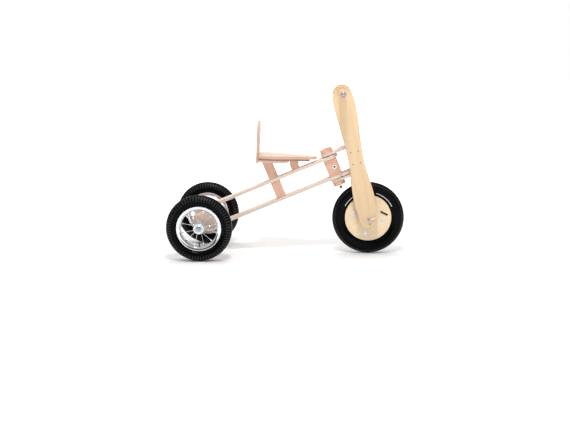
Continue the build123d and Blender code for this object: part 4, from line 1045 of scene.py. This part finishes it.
# %% Floor
FLOOR_DROP = 0.5 * MM
FADE_FROM, FADE_TO = 0.75, 2.4
bm = bmesh.new()
bmesh.ops.create_grid(bm, x_segments=8, y_segments=8, size=14.0)
floor_mesh = bpy.data.meshes.new("studio_floor")
bm.to_mesh(floor_mesh)
bm.free()
studio_floor = bpy.data.objects.new("studio_floor", floor_mesh)
bpy.context.scene.collection.objects.link(studio_floor)
studio_floor.location.z = -FLOOR_DROP
floor_paint = worn_finish("floor_paint", tone(252, 252, 252), tone(250, 250, 250), 0.7, 0.75, bump=0.02,
                          smear=2.0, speckle=80.0, Specular_IOR_Level=0.2)
floor_tree = floor_paint.node_tree
floor_place = put(floor_tree, "TexCoord").outputs["Object"]
floor_reach = put(floor_tree, "VectorMath", {0: floor_place}, operation="LENGTH").outputs["Value"]
fade = between(floor_tree, floor_reach, FADE_FROM, FADE_TO)
feed(floor_tree, floor_tree.nodes["Principled BSDF"],
     {"Emission Color": (1, 1, 1, 1), "Emission Strength": fade})
floor_mesh.materials.append(floor_paint)
print("floor", tuple(studio_floor.dimensions))

# %% [markdown]
# ## Surroundings
# The world is white where it is looked at directly. For light and reflections it is bright above and
# behind and dim in front, which gives the chrome dark lines and keeps black rubber black.

# %% Surroundings
world = bpy.data.worlds.new("studio_world")
bpy.context.scene.world = world
world.use_nodes = True
sky = world.node_tree
ray_way = put(sky, "SeparateXYZ", {"Vector": put(sky, "TexCoord").outputs["Generated"]})
from_above = between(sky, ray_way.outputs["Z"], 0.1, 0.8, 0.06, 0.75)
from_behind = between(sky, ray_way.outputs["Y"], -0.1, 0.6, 0.0, 0.45)
seen = put(sky, "LightPath").outputs["Is Camera Ray"]
glow = sum_of(sky, "MAXIMUM", sum_of(sky, "ADD", from_above, from_behind), seen)
feed(sky, sky.nodes["Background"], {"Color": (1, 1, 1, 1), "Strength": glow})
print("world", world.name)

# %% [markdown]
# ## Lights
# The key light is small and high in front, so that the bar throws its shadow down the blade. A wide light
# overhead softens the top surfaces, and a wide low one in front fills the side.


# %% Lights
def soft_light(name, at, aim, size, power):
    """Square light pointed at a place."""
    lamp = bpy.data.lights.new(name, "AREA")
    lamp.shape, lamp.size, lamp.energy = "SQUARE", size, power
    holder = bpy.data.objects.new(name, lamp)
    holder.location = at
    holder.rotation_euler = (Vector(aim) - Vector(at)).to_track_quat("-Z", "Y").to_euler()
    bpy.context.scene.collection.objects.link(holder)


soft_light("key_light", (0.1, -2.2, 4.0), (0, 0, 0.25), 0.5, 78)
soft_light("top_light", (-0.2, 0.6, 3.4), (0, 0, 0.2), 2.6, 34)
soft_light("side_light", (1.2, -3.4, 0.9), (0.1, 0, 0.1), 1.6, 12)
print("lights", len(bpy.data.lights))

# %% [markdown]
# ## Camera
# The camera looks along the right-hand side from a little above, and from just far enough to the front
# that both rear wheels show.

# %% Camera
lens = bpy.data.cameras.new("side_camera")
lens.lens = 65.5
lens.sensor_width = 36.0
camera = bpy.data.objects.new("side_camera", lens)
camera.location = (0.127, -4.278, 0.9414)
camera.rotation_euler = (radians(90 - 10.27), 0, radians(1.8437))
bpy.context.scene.collection.objects.link(camera)
bpy.context.scene.camera = camera
bpy.context.scene.view_settings.view_transform = "Standard"
print("camera at", tuple(camera.location))
